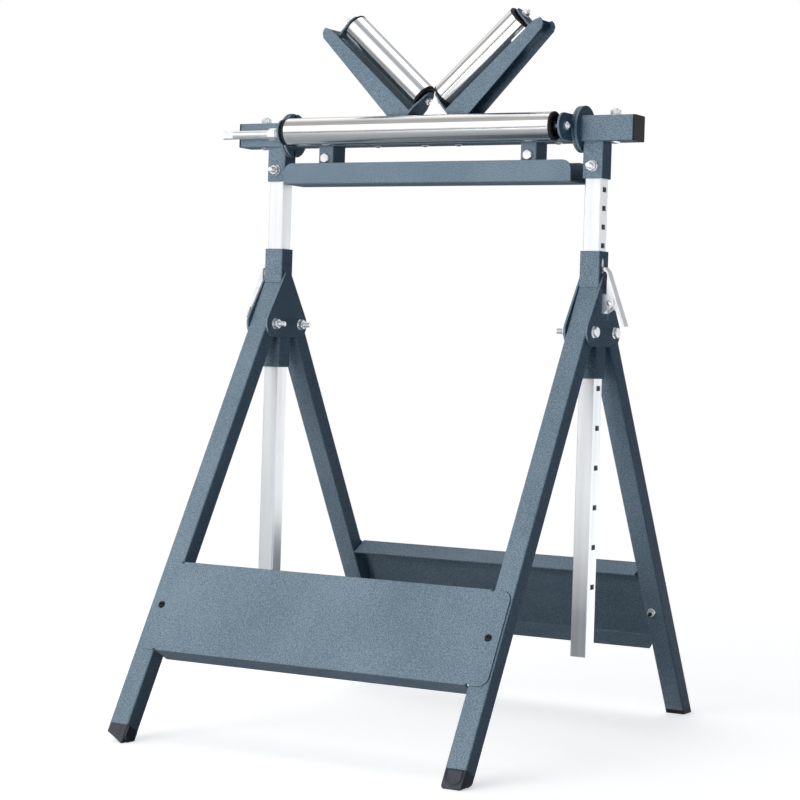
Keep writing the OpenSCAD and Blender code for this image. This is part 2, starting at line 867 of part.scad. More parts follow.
// A flanged cap with a round recess round its hub; its outer face is at 0
module roller_cap(d) {
    inner = d - 2 * roller_wall - 0.4;
    recess = inner - 4;
    hub = axle_d + 9;
    difference() {
        union() {
            x_bar(d + 1, 0, cap_flange_t);
            x_bar(inner, cap_flange_t - eps, cap_flange_t + cap_plug_l);
        }
        difference() {
            x_bar(recess, -1, cap_flange_t + 3);
            x_bar(hub, -2, cap_flange_t + 4);
        }
        x_bar(axle_d + 2 * run_play, -1, cap_flange_t + cap_plug_l + 1);
    }
}

module roller_caps(d, length) {
    roller_cap(d);
    translate([length, 0, 0]) mirror([1, 0, 0]) roller_cap(d);
}

module on_straight() {
    on_axis() translate([straight_left, -straight_y, 0]) children();
}

// V arms

// Side outline of an arm: X along the roller's axis, Y towards the work
module arm_outline() {
    tip_r = 8;
    end = v_low_ear - arm_t;
    polygon([[end, -v_plate_drop], [end, -arm_deep - 20], [0, -arm_deep - 20], [0, -arm_deep],
        [arm_l - tip_r, -arm_shallow - 1], [arm_l - 2, -arm_shallow + 3],
        [arm_l, -arm_shallow + 8], [arm_l, -v_plate_drop - 4], [arm_l - 10, -v_plate_drop]]);
}

module arm_inside() {
    translate([0, -arm_t]) polygon([[-far, -v_plate_drop], [-far, -far], [far, -far],
        [far, -v_plate_drop]]);
}

module v_arm() {
    width = 2 * (arm_half + arm_t);
    difference() {
        union() {
            difference() {
                arm_slab(width) arm_outline();
                arm_slab(2 * arm_half) arm_inside();
                tab_window();
            }
            top_ear();
            low_ear();
        }
        x_bar(small_hole_d, -far / 2, far);
        arm_foot_cut();
    }
}

// Extrudes a side outline across the arm
module arm_slab(width) {
    translate([0, width / 2, 0]) rotate([90, 0, 0]) linear_extrude(width) children();
}

// The opening left in the plate by the ear that is punched up from it
module tab_window() {
    length = v_plate_drop + tab_half;
    translate([0, 0, -v_plate_drop - arm_t - 1]) linear_extrude(arm_t + 2)
        polygon([[v_top_ear, -tab_half], [v_top_ear, tab_half], [v_top_ear - length + 12, tab_half],
            [v_top_ear - length, 5], [v_top_ear - length, -5], [v_top_ear - length + 12, -tab_half]]);
}

module top_ear() {
    x_bar(2 * tab_half, v_top_ear, v_top_ear + arm_t);
    translate([v_top_ear, -tab_half, -v_plate_drop - arm_t])
        cube([arm_t, 2 * tab_half, v_plate_drop + arm_t]);
}

module low_ear() {
    half = arm_half + arm_t;
    top_r = 13;
    x_bar(2 * top_r, v_low_ear - arm_t, v_low_ear);
    translate([v_low_ear, 0, 0]) rotate([90, 0, -90]) linear_extrude(arm_t)
        polygon([[-half, -v_plate_drop - arm_t], [half, -v_plate_drop - arm_t],
            [half, -v_plate_drop + 8], [top_r, 0], [-top_r, 0], [-half, -v_plate_drop + 8]]);
}

// Levels the arm's foot beside the beam
module arm_foot_cut() {
    rotate([0, v_angle, 0]) translate([-v_low_x - far, -far / 2, -v_low_z + beam_w / 2 - 12 - far])
        cube([2 * far, far, far]);
}

module v_axle_set() {
    low = v_low_ear - arm_t;
    top = v_top_ear + arm_t;
    x_bar(axle_d, low - small_nut_h - 1.4, top + washer_t + small_nut_h + 3);
    x_nut(axle_d, small_across, low - small_nut_h, small_nut_h);
    x_washer(axle_d, small_washer_d, top, washer_t);
    x_nut(axle_d, small_across, top + washer_t, small_nut_h);
}

// Flat rest

module rest() {
    intersection() {
        translate([-rest_half, 0, -rest_drop]) rotate([90, 0, 90]) linear_extrude(2 * rest_half)
            rest_profile();
        rotate([90, 0, 0]) translate([0, 0, -rest_w]) linear_extrude(2 * rest_w)
            rest_side();
    }
}

module rest_profile() {
    bend_r = 3;
    difference() {
        translate([0, rest_wall_h]) rounded_square(rest_w, 2 * rest_wall_h, bend_r);
        translate([0, rest_t + rest_wall_h]) rounded_square(rest_w - 2 * rest_t, 2 * rest_wall_h, 1);
        translate([-rest_w, rest_wall_h]) square([2 * rest_w, 2 * rest_wall_h]);
    }
}

module rest_side() {
    translate([0, -rest_drop + rest_wall_h / 2])
        rounded_square(2 * rest_half, rest_wall_h, rest_corner_r);
    translate([-rest_half, -rest_drop]) square([2 * rest_half, rest_wall_h - rest_corner_r]);
}

module each_lug() {
    for (x = [left_lug_in - rest_half, rest_half - right_lug_in]) on_axis() translate([x, 0, 0]) children();
}

module lug() {
    low = -rest_drop + rest_t;
    difference() {
        translate([0, 0, low]) linear_extrude(rest_drop - rest_t - beam_w / 2) difference() {
            rounded_square(lug_w, beam_w, tube_r);
            translate([-rest_t, 0]) rounded_square(lug_w, beam_w - 2 * rest_t, 0.8);
        }
        rotate([0, 0, 90]) translate([0, 0, -beam_w]) x_bar(bolt_hole_d, -far, far);
    }
}

module lug_bolt() {
    translate([0, 0, -beam_w]) rotate([0, 0, 90]) {
        x_hex(bolt_across, -beam_w / 2 - bolt_head_h, -beam_w / 2);
        x_bar(bolt_d, -beam_w / 2 - eps, beam_w / 2 + nut_h + 2);
        x_nut(bolt_d, bolt_across, beam_w / 2, nut_h);
    }
}

// Nodes: base

module left_sleeve() { color(paint) place() at_post(-1) sleeve(); }
module right_sleeve() { color(paint) place() at_post(1) sleeve(); }
module left_gussets() { color(dark_paint) place() at_post(-1) gusset_pair(); }
module right_gussets() { color(dark_paint) place() at_post(1) gusset_pair(); }
module pivot_bolts() { color(zinc) each_pivot() pivot_bolt(); }
module pivot_nuts() {
    color(zinc) each_pivot() x_nut(bolt_d, bolt_across, -gusset_out - washer_t - nut_h, nut_h);
}
module pivot_washers() {
    color(zinc) each_pivot() for (x = [gusset_out, -gusset_out - washer_t])
        x_washer(bolt_d, washer_d, x, washer_t);
}
module latch_brackets() { color(zinc) both_posts() latch_bracket(); }
module latch_pins() { color(zinc) both_posts() latch_pin(); }
module left_latch_lever() { color(zinc) place() at_post(-1) latch_lever(); }
module right_latch_lever() { color(zinc) place() at_post(1) latch_lever(); }
module left_latch_spring() { color(steel) place() at_post(-1) latch_spring(); }
module right_latch_spring() { color(steel) place() at_post(1) latch_spring(); }

// Nodes: legs and panels

module left_front_leg() { color(paint) place() at_post(-1) front_leg(); }
module right_front_leg() { color(paint) place() at_post(1) front_leg(); }
module left_front_foot() { color(rubber) place() at_post(-1) front_foot(); }
module right_front_foot() { color(rubber) place() at_post(1) front_foot(); }
module front_panel() { color(paint) place() at_pivot(-1) panel(); }
module front_panel_bolts() { color(black) each_panel_bolt(-1) panel_bolt(); }
module front_panel_nuts() { color(zinc) each_panel_bolt(-1) panel_nut(); }
module left_rear_leg() { color(paint) place() at_post(-1) rear_leg(); }
module right_rear_leg() { color(paint) place() at_post(1) rear_leg(); }
module left_rear_foot() { color(rubber) place() at_post(-1) rear_foot(); }
module right_rear_foot() { color(rubber) place() at_post(1) rear_foot(); }
module rear_panel() { color(paint) place() at_pivot(1) panel(); }
module rear_panel_bolts() { color(black) each_panel_bolt(1) panel_bolt(); }
module rear_panel_nuts() { color(zinc) each_panel_bolt(1) panel_nut(); }

// Nodes: top frame

module left_post() { color(zinc) place() at_post(-1) post(); }
module right_post() { color(zinc) place() at_post(1) post(); }
module left_post_head() { color(paint) place() at_post(-1) post_head(); }
module right_post_head() { color(paint) place() at_post(1) post_head(); }
module post_head_bolts() { color(zinc) both_posts() post_head_bolt(); }
module left_end_tube() { color(paint) on_end(-1) end_tube(); }
module right_end_tube() { color(paint) on_end(1) end_tube(); }
module end_caps() { color(black) both_ends() end_cap(); }
module fixed_discs() { color(paint) for (side = [-1, 1]) on_end(side) fixed_disc(side); }
module bearing_blocks() { color(steel) both_ends() bearing_block(); }
module lock_bolts() { color(zinc) both_ends() lock_bolt(); }
module index_guide() { color(zinc) on_guide() guide(); }
module index_pin() { color(zinc) on_guide() pull_pin(); }
module index_spring() { color(steel) on_guide() coil_spring(); }

// Nodes: turning head

module left_turning_disc() { color(dark_paint) on_end(-1) turning_disc(-1); }
module right_turning_disc() { color(dark_paint) on_end(1) turning_disc(1); }
module centre_beam() {
    color(paint) on_axis() difference() {
        beam();
        beam_holes();
    }
}
module beam_rivets() { color(zinc) on_axis() rivets(); }
module roller_ears() {
    color(dark_paint) on_axis() both_ears() roller_ear();
}
module straight_axle() { color(zinc) on_axis() translate([0, -straight_y, 0]) straight_axle_set(); }
module straight_roller() { color(steel) on_straight() roller_tube(straight_d, straight_l); }
module straight_roller_caps() { color(black) on_straight() roller_caps(straight_d, straight_l); }
module left_v_arm() { color(paint) at_v(-1) v_arm(); }
module right_v_arm() { color(paint) at_v(1) v_arm(); }
module v_axles() { color(zinc) for (side = [-1, 1]) at_v(side) v_axle_set(); }
module left_v_roller() { color(steel) at_v(-1) roller_tube(v_d, v_l); }
module left_v_roller_caps() { color(black) at_v(-1) roller_caps(v_d, v_l); }
module right_v_roller() { color(steel) at_v(1) roller_tube(v_d, v_l); }
module right_v_roller_caps() { color(black) at_v(1) roller_caps(v_d, v_l); }
module flat_rest() { color(paint) on_axis() rest(); }
module rest_lugs() { color(paint) each_lug() lug(); }
module lug_bolts() { color(zinc) each_lug() lug_bolt(); }

left_sleeve();
right_sleeve();
left_gussets();
right_gussets();
pivot_bolts();
pivot_nuts();
pivot_washers();
latch_brackets();
latch_pins();
left_latch_lever();
right_latch_lever();
left_latch_spring();
right_latch_spring();
left_front_leg();
right_front_leg();
left_front_foot();
right_front_foot();
front_panel();
front_panel_bolts();
front_panel_nuts();
left_rear_leg();
right_rear_leg();
left_rear_foot();
right_rear_foot();
rear_panel();
rear_panel_bolts();
rear_panel_nuts();
left_post();
right_post();
left_post_head();
right_post_head();
post_head_bolts();
left_end_tube();
right_end_tube();
end_caps();
fixed_discs();
bearing_blocks();
lock_bolts();
index_guide();
index_pin();
index_spring();
left_turning_disc();
right_turning_disc();
centre_beam();
beam_rivets();
roller_ears();
straight_axle();
straight_roller();
straight_roller_caps();
left_v_arm();
right_v_arm();
v_axles();
left_v_roller();
left_v_roller_caps();
right_v_roller();
right_v_roller_caps();
flat_rest();
rest_lugs();
lug_bolts();
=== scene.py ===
"""A folding roller stand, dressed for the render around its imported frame."""

import json
import math

import bmesh
import bpy
from bpy.props import FloatProperty, FloatVectorProperty, IntProperty, PointerProperty
from mathutils import Matrix, Vector


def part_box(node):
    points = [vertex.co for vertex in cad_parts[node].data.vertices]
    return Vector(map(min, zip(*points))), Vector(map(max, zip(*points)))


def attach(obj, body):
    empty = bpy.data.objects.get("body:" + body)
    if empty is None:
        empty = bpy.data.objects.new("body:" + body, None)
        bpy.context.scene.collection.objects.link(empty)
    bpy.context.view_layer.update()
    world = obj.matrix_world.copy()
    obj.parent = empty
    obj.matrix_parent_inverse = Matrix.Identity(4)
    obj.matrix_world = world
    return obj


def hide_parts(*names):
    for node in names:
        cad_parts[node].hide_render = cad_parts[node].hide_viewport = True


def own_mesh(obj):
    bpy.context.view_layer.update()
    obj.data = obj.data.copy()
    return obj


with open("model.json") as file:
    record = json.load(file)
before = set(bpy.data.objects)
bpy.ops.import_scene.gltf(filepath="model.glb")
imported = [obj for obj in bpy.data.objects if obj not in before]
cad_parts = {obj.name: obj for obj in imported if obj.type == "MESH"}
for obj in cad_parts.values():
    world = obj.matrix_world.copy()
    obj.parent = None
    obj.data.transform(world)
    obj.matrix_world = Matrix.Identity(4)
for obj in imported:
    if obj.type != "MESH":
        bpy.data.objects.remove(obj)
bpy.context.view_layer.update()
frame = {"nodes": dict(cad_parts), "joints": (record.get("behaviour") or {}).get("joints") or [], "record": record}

bl_info = {
    "name": "Roller stand",
    "version": (1, 0, 0),
    "blender": (4, 5, 0),
    "location": "View3D > Sidebar > Roller stand",
    "description": "Dresses the packed roller stand: finishes, fasteners, feet, caps, spring, welds, studio",
    "category": "Object",
}

MM = 0.001

# Points nearer than this are one point
DOUBLES = 1e-6


# Sizes and colours that a user would change

def colour_property(name, description, default):
    return FloatVectorProperty(name=name, description=description, subtype="COLOR", size=3,
                               min=0, max=1, default=default)


def length_property(name, description, default):
    return FloatProperty(name=name, description=description, subtype="DISTANCE", default=default)


def angle_property(name, description, default):
    return FloatProperty(name=name, description=description, subtype="ANGLE", default=default)


class StandColours(bpy.types.PropertyGroup):
    """Colours of the stand's finishes"""
    paint: colour_property("Paint", "Colour of the hammered paint", (0.102, 0.145, 0.180))
    paint_fleck: colour_property(
        "Paint fleck", "Colour of the paint's metallic flecks", (0.215, 0.266, 0.312))
    zinc: colour_property("Zinc", "Colour of the bright zinc plate", (0.86, 0.865, 0.87))
    steel: colour_property("Roller steel", "Colour of the turned rollers", (0.80, 0.79, 0.775))
    plastic: colour_property("Plastic", "Colour of the moulded caps", (0.016, 0.016, 0.018))
    rubber: colour_property("Rubber", "Colour of the rubber feet", (0.028, 0.030, 0.034))


class StandSizes(bpy.types.PropertyGroup):
    """Sizes of the detail that the frame doesn't hold"""
    thread_pitch: length_property("Thread pitch", "Pitch of the large bolts' threads", 1.25 * MM)
    weld_r: length_property("Weld bead", "Radius of the weld beads", 1.5 * MM)
    weld_step: length_property("Weld ripple", "Length of one ripple of a weld bead", 2.2 * MM)
    leg_lean: angle_property("Leg lean", "Lean of the open legs from upright", math.radians(29.8))
    leg_length: length_property("Leg length", "From a front leg's pivot to its square cut", 645 * MM)
    sole_round: length_property("Sole round", "Rounding of the front feet's lower edges", 5.5 * MM)
    spring_wire: length_property("Spring wire", "Wire of the index pin's spring", 0.8 * MM)
    spring_turns: IntProperty(
        name="Spring turns", description="Turns of the index pin's spring", default=6)
    v_angle: angle_property("V angle", "Angle of the V rollers above level", math.radians(42.0))
    segments: IntProperty(
        name="Segments", description="Segments round a roller cap", default=72, min=24, max=128)


class StandCamera(bpy.types.PropertyGroup):
    """Where the photograph was taken from"""
    place: FloatVectorProperty(
        name="Place", description="Camera place from the middle of the stand, on the floor",
        subtype="TRANSLATION", size=3, default=(1.5521, -2.8118, 0.5512))
    yaw: angle_property("Yaw", "Turn of the view from straight ahead", 0.5040)
    pitch: angle_property("Pitch", "How far the view points down", 0.0050)
    roll: angle_property("Roll", "How far the picture turns clockwise", 0.0310)
    focal: FloatProperty(
        name="Focal length", description="In pixels of the photograph", default=2211.7)
    centre_u: FloatProperty(
        name="Centre across", description="Middle of the lens in the picture, in pixels", default=421.4)
    centre_v: FloatProperty(
        name="Centre down", description="Middle of the lens in the picture, in pixels", default=356.9)


# Width and height of the photograph in pixels, and of the camera's film in millimetres
PICTURE = 800
FILM = 36.0


def sizes():
    return bpy.context.scene.stand_sizes


def colours():
    return bpy.context.scene.stand_colours


# Shader expressions

class Shade:
    """A socket that can be used in Python expressions"""

    def __init__(self, finish, socket):
        self.finish = finish
        self.socket = socket

    def _math(self, operation, first, second):
        return self.finish.node("ShaderNodeMath", {"operation": operation}, {0: first, 1: second})

    def __add__(self, other):
        return self._math("ADD", self, other)

    __radd__ = __add__

    def __sub__(self, other):
        return self._math("SUBTRACT", self, other)

    def __rsub__(self, other):
        return self._math("SUBTRACT", other, self)

    def __mul__(self, other):
        return self._math("MULTIPLY", self, other)

    __rmul__ = __mul__

    def __truediv__(self, other):
        return self._math("DIVIDE", self, other)


class Finish:
    """The node tree of a material or world"""

    def __init__(self, owner):
        owner.use_nodes = True
        self.owner = owner
        self.tree = owner.node_tree
        self.tree.nodes.clear()

    def node(self, kind, settings=None, inputs=None, outlet=0):
        made = self.tree.nodes.new(kind)
        for key, value in (settings or {}).items():
            if key == "stops":
                self._stops(made.color_ramp, value)
            else:
                setattr(made, key, value)
        for key, value in (inputs or {}).items():
            if isinstance(value, Shade):
                self.tree.links.new(value.socket, made.inputs[key])
            else:
                made.inputs[key].default_value = value
        return Shade(self, made.outputs[outlet]) if len(made.outputs) else made

    @staticmethod
    def _stops(ramp, stops):
        while len(ramp.elements) < len(stops):
            ramp.elements.new(0.5)
        for element, (place, level) in zip(ramp.elements, stops):
            element.position = place
            element.color = (level, level, level, 1)

    def place(self):
        return self.node("ShaderNodeTexCoord", outlet="Object")

    def stretched(self, scale):
        return self.node("ShaderNodeMapping", inputs={"Vector": self.place(), "Scale": scale})

    def noise(self, scale, detail, vector=None):
        return self.node("ShaderNodeTexNoise", inputs={
            "Vector": vector or self.place(), "Scale": scale, "Detail": detail})

    def cells(self, scale, smoothness):
        return self.node("ShaderNodeTexVoronoi", {"feature": "SMOOTH_F1"}, {
            "Vector": self.place(), "Scale": scale, "Smoothness": smoothness})

    def ramp(self, value, stops):
        """Grey levels at places from 0 to 1"""
        return self.node("ShaderNodeValToRGB", {"stops": stops}, {"Fac": value})

    def blend(self, factor, low, high):
        return self.node("ShaderNodeMix", {"data_type": "RGBA"},
                         {0: factor, 6: low, 7: high}, outlet=2)

    def colour(self, red, green, blue):
        return self.node("ShaderNodeCombineColor", inputs={0: red, 1: green, 2: blue})

    def ray(self, kind):
        """1 for rays of one kind, such as Is Camera Ray"""
        return self.node("ShaderNodeLightPath", outlet=kind)

    def soft_edge(self, radius):
        return self.node("ShaderNodeBevel", {"samples": 4}, {"Radius": radius})

    def bump(self, height, strength, distance, normal=None):
        inputs = {"Height": height, "Strength": strength, "Distance": distance}
        if normal:
            inputs["Normal"] = normal
        return self.node("ShaderNodeBump", inputs=inputs)

    def surface(self, values):
        shader = self.node("ShaderNodeBsdfPrincipled", inputs=values)
        self.node("ShaderNodeOutputMaterial", inputs={"Surface": shader})
        return self.owner

    def glowing(self, colour, emission, strength):
        """A surface without any shine, which also gives light"""
        return self.node("ShaderNodeBsdfPrincipled", inputs={
            "Base Color": colour, "Roughness": 1.0, "Specular IOR Level": 0.0,
            "Emission Color": emission, "Emission Strength": strength})


def new_finish(name):
    return Finish(bpy.data.materials.new(name))


def rgba(colour, gain=1.0):
    return (colour[0] * gain, colour[1] * gain, colour[2] * gain, 1.0)


# Finishes

def hammered_paint(name):
    """Blue-grey structure paint: fine dimples, metallic flecks, soft folded edges"""
    f = new_finish(name)
    fleck = f.noise(scale=820.0, detail=3.0)
    dimples = f.cells(scale=640.0, smoothness=0.6)
    cloud = f.noise(scale=7.0, detail=3.0)
    mottle = f.ramp(fleck + (cloud - 0.5) * 0.25, [(0.42, 0.0), (0.62, 1.0)])
    relief = f.bump(dimples * 0.7 + fleck * 0.3, strength=0.42, distance=0.5 * MM,
                    normal=f.soft_edge(0.9 * MM))
    return f.surface({
        "Base Color": f.blend(mottle, rgba(colours().paint), rgba(colours().paint_fleck)),
        "Metallic": 0.03, "Roughness": 0.42 + 0.16 * fleck, "Specular IOR Level": 0.06,
        "Normal": relief})


def bright_zinc(name, stretch=(1.0, 1.0, 1.0)):
    """Bright zinc plate with faint drawing streaks"""
    f = new_finish(name)
    streak = f.noise(scale=60.0, detail=4.0, vector=f.stretched(stretch))
    grain = f.noise(scale=900.0, detail=2.0)
    cloud = f.noise(scale=18.0, detail=2.0)
    tint = f.blend(f.ramp(streak, [(0.3, 0.0), (0.7, 1.0)]),
                   rgba(colours().zinc, gain=0.86), rgba(colours().zinc, gain=1.04))
    relief = f.bump(streak * 0.6 + grain * 0.4, strength=0.12, distance=0.15 * MM,
                    normal=f.soft_edge(0.4 * MM))
    return f.surface({
        "Base Color": tint, "Metallic": 0.92,
        "Roughness": 0.30 + 0.16 * cloud + 0.08 * grain, "Normal": relief})


def turned_steel(name):
    """Polished roller steel with fine turning marks"""
    f = new_finish(name)
    marks = f.noise(scale=2600.0, detail=2.0)
    cloud = f.noise(scale=26.0, detail=3.0)
    tint = f.blend(cloud, rgba(colours().steel, gain=0.93), rgba(colours().steel, gain=1.04))
    return f.surface({
        "Base Color": tint, "Metallic": 1.0, "Roughness": 0.11 + 0.10 * cloud,
        "Normal": f.bump(marks, strength=0.02, distance=0.05 * MM)})


def moulded_plastic(name):
    f = new_finish(name)
    grain = f.noise(scale=1500.0, detail=2.0)
    cloud = f.noise(scale=40.0, detail=2.0)
    tint = f.blend(cloud, rgba(colours().plastic, gain=0.8), rgba(colours().plastic, gain=1.5))
    return f.surface({
        "Base Color": tint, "Roughness": 0.42 + 0.14 * grain, "Specular IOR Level": 0.12,
        "Normal": f.bump(grain, strength=0.18, distance=0.12 * MM, normal=f.soft_edge(0.5 * MM))})


def foot_rubber(name):
    f = new_finish(name)
    grain = f.noise(scale=1100.0, detail=3.0)
    cloud = f.noise(scale=55.0, detail=3.0)
    tint = f.blend(cloud, rgba(colours().rubber, gain=1.2), rgba(colours().rubber, gain=3.0))
    return f.surface({
        "Base Color": tint, "Roughness": 0.52 + 0.2 * grain, "Specular IOR Level": 0.12,
        "Normal": f.bump(grain * 0.6 + cloud * 0.4, strength=0.3, distance=0.25 * MM)})


def black_steel(name):
    """The blackened screws of the panels"""
    f = new_finish(name)
    grain = f.noise(scale=1300.0, detail=3.0)
    return f.surface({
        "Base Color": f.blend(grain, (0.003, 0.003, 0.004, 1), (0.012, 0.012, 0.014, 1)),
        "Roughness": 0.16 + 0.1 * grain, "Specular IOR Level": 0.3,
        "Normal": f.bump(grain, strength=0.1, distance=0.1 * MM)})


def spring_wire(name):
    f = new_finish(name)
    grain = f.noise(scale=1600.0, detail=2.0)
    return f.surface({
        "Base Color": f.blend(grain, (0.42, 0.42, 0.43, 1), (0.62, 0.62, 0.63, 1)),
        "Metallic": 1.0, "Roughness": 0.24 + 0.12 * grain,
        "Normal": f.bump(grain, strength=0.08, distance=0.05 * MM)})


# The finishes by slot name; the first operator fills it
FINISH = {}


def dress_node(name, finish):
    piece = frame["nodes"][name]
    piece.data.materials.clear()
    piece.data.materials.append(FINISH[finish])


# Places taken from the frame

def middle(low, high):
    return (low + high) / 2


def solids(node, turned=None):
    """Boxes of a node's separate solids, seen in the turned frame when one is given"""
    bm = bmesh.new()
    bm.from_mesh(frame["nodes"][node].data)
    bmesh.ops.remove_doubles(bm, verts=bm.verts, dist=DOUBLES)
    if turned:
        bm.transform(turned.inverted())
    boxes = []
    left = set(bm.verts)
    while left:
        reached = {left.pop()}
        ends = list(reached)
        while ends:
            here = ends.pop()
            near = {e.other_vert(here) for e in here.link_edges} - reached
            reached |= near
            ends.extend(near)
        left -= reached
        low = Vector([min(v.co[k] for v in reached) for k in range(3)])
        high = Vector([max(v.co[k] for v in reached) for k in range(3)])
        boxes.append((low, high))
    bm.free()
    return sorted(boxes, key=lambda b: tuple(middle(*b)))


def joint_named(name):
    return next(j for j in frame["joints"] if j["name"] == name)


def along(axis, at=(0, 0, 0)):
    """A frame whose +X points along the axis from the place"""
    x = Vector(axis).normalized()
    near_x = 0.7
    side = Vector((0, 1, 0)) if abs(x.x) > near_x else Vector((1, 0, 0))
    z = x.cross(side).normalized()
    y = z.cross(x)
    made = Matrix((x, y, z)).transposed().to_4x4()
    made.translation = Vector(at)
    return made


def turned_back(back):
    """Half a turn that makes a part look along -X, or none"""
    return Matrix.Rotation(math.pi if back else 0.0, 4, "Z")


# Mesh makers

ORIGIN = Matrix.Identity(4)


def turn_angles(count):
    return [2 * math.pi * k / count for k in range(count)]


def ring(bm, where, x, radii):
    """Points spread evenly round the X axis of a frame, each at its own radius"""
    return [bm.verts.new(where @ Vector((x, r * math.cos(a), r * math.sin(a))))
            for r, a in zip(radii, turn_angles(len(radii)))]


def skin(bm, rings):
    """Faces between each ring and the next"""
    for here, there in zip(rings, rings[1:]):
        for k in range(len(here)):
            n = (k + 1) % len(here)
            bm.faces.new((here[k], there[k], there[n], here[n]))


def loft(bm, rings):
    """Faces between the rings, and one over each end"""
    skin(bm, rings)
    bm.faces.new(rings[0])
    bm.faces.new(reversed(rings[-1]))


def lathe(bm, profile, where, segments):
    """Revolves a closed (x, r) outline about the X axis of a frame"""
    rings = [ring(bm, where, x, [r] * segments) for x, r in profile]
    skin(bm, rings + rings[:1])


def solid_lathe(bm, profile, where, segments):
    """Revolves an open (x, r) outline whose ends lie on the axis"""
    first = bm.verts.new(where @ Vector((profile[0][0], 0, 0)))
    last = bm.verts.new(where @ Vector((profile[-1][0], 0, 0)))
    rings = [ring(bm, where, x, [r] * segments) for x, r in profile[1:-1]]
    for k in range(segments):
        n = (k + 1) % segments
        bm.faces.new((first, rings[0][k], rings[0][n]))
        bm.faces.new((last, rings[-1][n], rings[-1][k]))
    skin(bm, rings)


def extrude_outline(bm, outline, thickness, where):
    """A plate from a closed outline in the Y-Z plane of a frame, thick along its X"""
    loft(bm, [[bm.verts.new(where @ Vector((x, y, z))) for y, z in outline] for x in (0, thickness)])


def tube_along(bm, points, radii, sides):
    """A round bead along points, with a radius at each of them"""
    rings = []
    last = len(points) - 1
    side = None
    for i, point in enumerate(points):
        ahead = (points[min(i + 1, last)] - points[max(i - 1, 0)]).normalized()
        if side is None:
            side = ahead.orthogonal().normalized()
        side = (side - ahead * side.dot(ahead)).normalized()
        other = ahead.cross(side)
        rings.append([bm.verts.new(point + radii[i] * (math.cos(a) * side + math.sin(a) * other))
                      for a in turn_angles(sides)])
    loft(bm, rings)


def to_piece(bm, name, finish, body, sharp=32.0):
    """Turns a bmesh into a finished piece that rides on a body; edges over the sharp angle stay sharp"""
    bmesh.ops.remove_doubles(bm, verts=bm.verts, dist=DOUBLES)
    bmesh.ops.recalc_face_normals(bm, faces=bm.faces)
    limit = math.radians(sharp)
    for face in bm.faces:
        face.smooth = True
    for edge in bm.edges:
        edge.smooth = len(edge.link_faces) == 2 and edge.calc_face_angle(0) < limit
    mesh = bpy.data.meshes.new(name)
    bm.to_mesh(mesh)
    bm.free()
    mesh.materials.append(FINISH[finish])
    piece = bpy.data.objects.new(name, mesh)
    bpy.context.scene.collection.objects.link(piece)
    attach(piece, body)
    return piece


# Fasteners: each kind is modelled once along +X and repeated on points by geometry nodes

# Segments round a thread, a shank, a washer or domed head, and a hexagon or socket head
THREAD_SEGMENTS = 24
SHANK_SEGMENTS = 32
WASHER_SEGMENTS = 40
HEX_SEGMENTS = 48


def hexagon(flat):
    """Radii round a hexagon, from half the distance across its flats"""
    return [flat / math.cos((a + math.pi / 6) % (math.pi / 3) - math.pi / 6)
            for a in turn_angles(HEX_SEGMENTS)]


def hex_body(bm, across, height, bore, chamfer_low, chamfer_high):
    """A hexagon with its corners turned off, and a bore where one is given"""
    flat, corner = across / 2, across / math.sqrt(3)
    face_r = flat * 0.97
    cut = (corner - flat) * 0.62
    limits = [(0, face_r), (cut, corner)] if chamfer_low else [(0, corner)]
    limits += [(height - cut, corner), (height, face_r)] if chamfer_high else [(height, corner)]
    rings = [ring(bm, ORIGIN, x, [min(r, limit) for r in hexagon(flat)]) for x, limit in limits]
    if not bore:
        loft(bm, rings)
        return
    sink = bore * 0.07
    inside = [(height, sink), (height - sink, 0), (sink, 0), (0, sink)]
    rings += [ring(bm, ORIGIN, x, [bore / 2 + wider] * HEX_SEGMENTS) for x, wider in inside]
    skin(bm, rings + rings[:1])


def thread(bm, d, length, pitch):
    """A threaded end from 0 to its length, with a chamfered tip"""
    depth = pitch * 0.45
    rows_a_pitch = 6
    rows = max(4, int(length / (pitch / rows_a_pitch)))
    rings = []
    for row in range(rows + 1):
        x = length * row / rows
        taper = max(0.0, (x - (length - pitch)) / pitch) * depth
        turns = [(x / pitch - k / THREAD_SEGMENTS) % 1.0 for k in range(THREAD_SEGMENTS)]
        rings.append(ring(bm, ORIGIN, x, [d / 2 - depth * abs(2 * t - 1) - taper for t in turns]))
    loft(bm, rings)


def washer_ring(bm, d, bore, t):
    c = t * 0.22
    lathe(bm, [(0, bore / 2), (0, d / 2 - c), (c, d / 2), (t - c, d / 2), (t, d / 2 - c), (t, bore / 2)],
          ORIGIN, WASHER_SEGMENTS)


def socket_button(bm, d, height, socket):
    """A round button head with a hexagon socket; its flat face at 0, its dome towards +X"""
    steps = 9
    foot, rim = math.radians(8), math.radians(78)
    sunk = height * 0.6
    dome = []
    for i in range(steps + 1):
        a = foot + (rim - foot) * i / steps
        dome.append((height * math.sin(a) / math.sin(rim), d / 2 * math.cos(a) / math.cos(foot)))
    rings = [ring(bm, ORIGIN, x, [r] * HEX_SEGMENTS) for x, r in [(0, dome[0][1])] + dome]
    rings += [ring(bm, ORIGIN, x, hexagon(socket / 2)) for x in (height, height - sunk)]
    loft(bm, rings)


def round_head(bm, d, height):
    """A domed head; its flat face at 0, its dome towards +X"""
    steps = 10
    profile = [(0, 0), (0, d / 2)]
    for i in range(1, steps):
        a = math.radians(90 * i / steps)
        profile.append((height * math.sin(a), d / 2 * math.cos(a)))
    profile.append((height, 0))
    solid_lathe(bm, profile, ORIGIN, WASHER_SEGMENTS)


def shaft(bm, d, length):
    solid_lathe(bm, [(0, 0), (0, d / 2), (length, d / 2), (length, 0)], ORIGIN, SHANK_SEGMENTS)


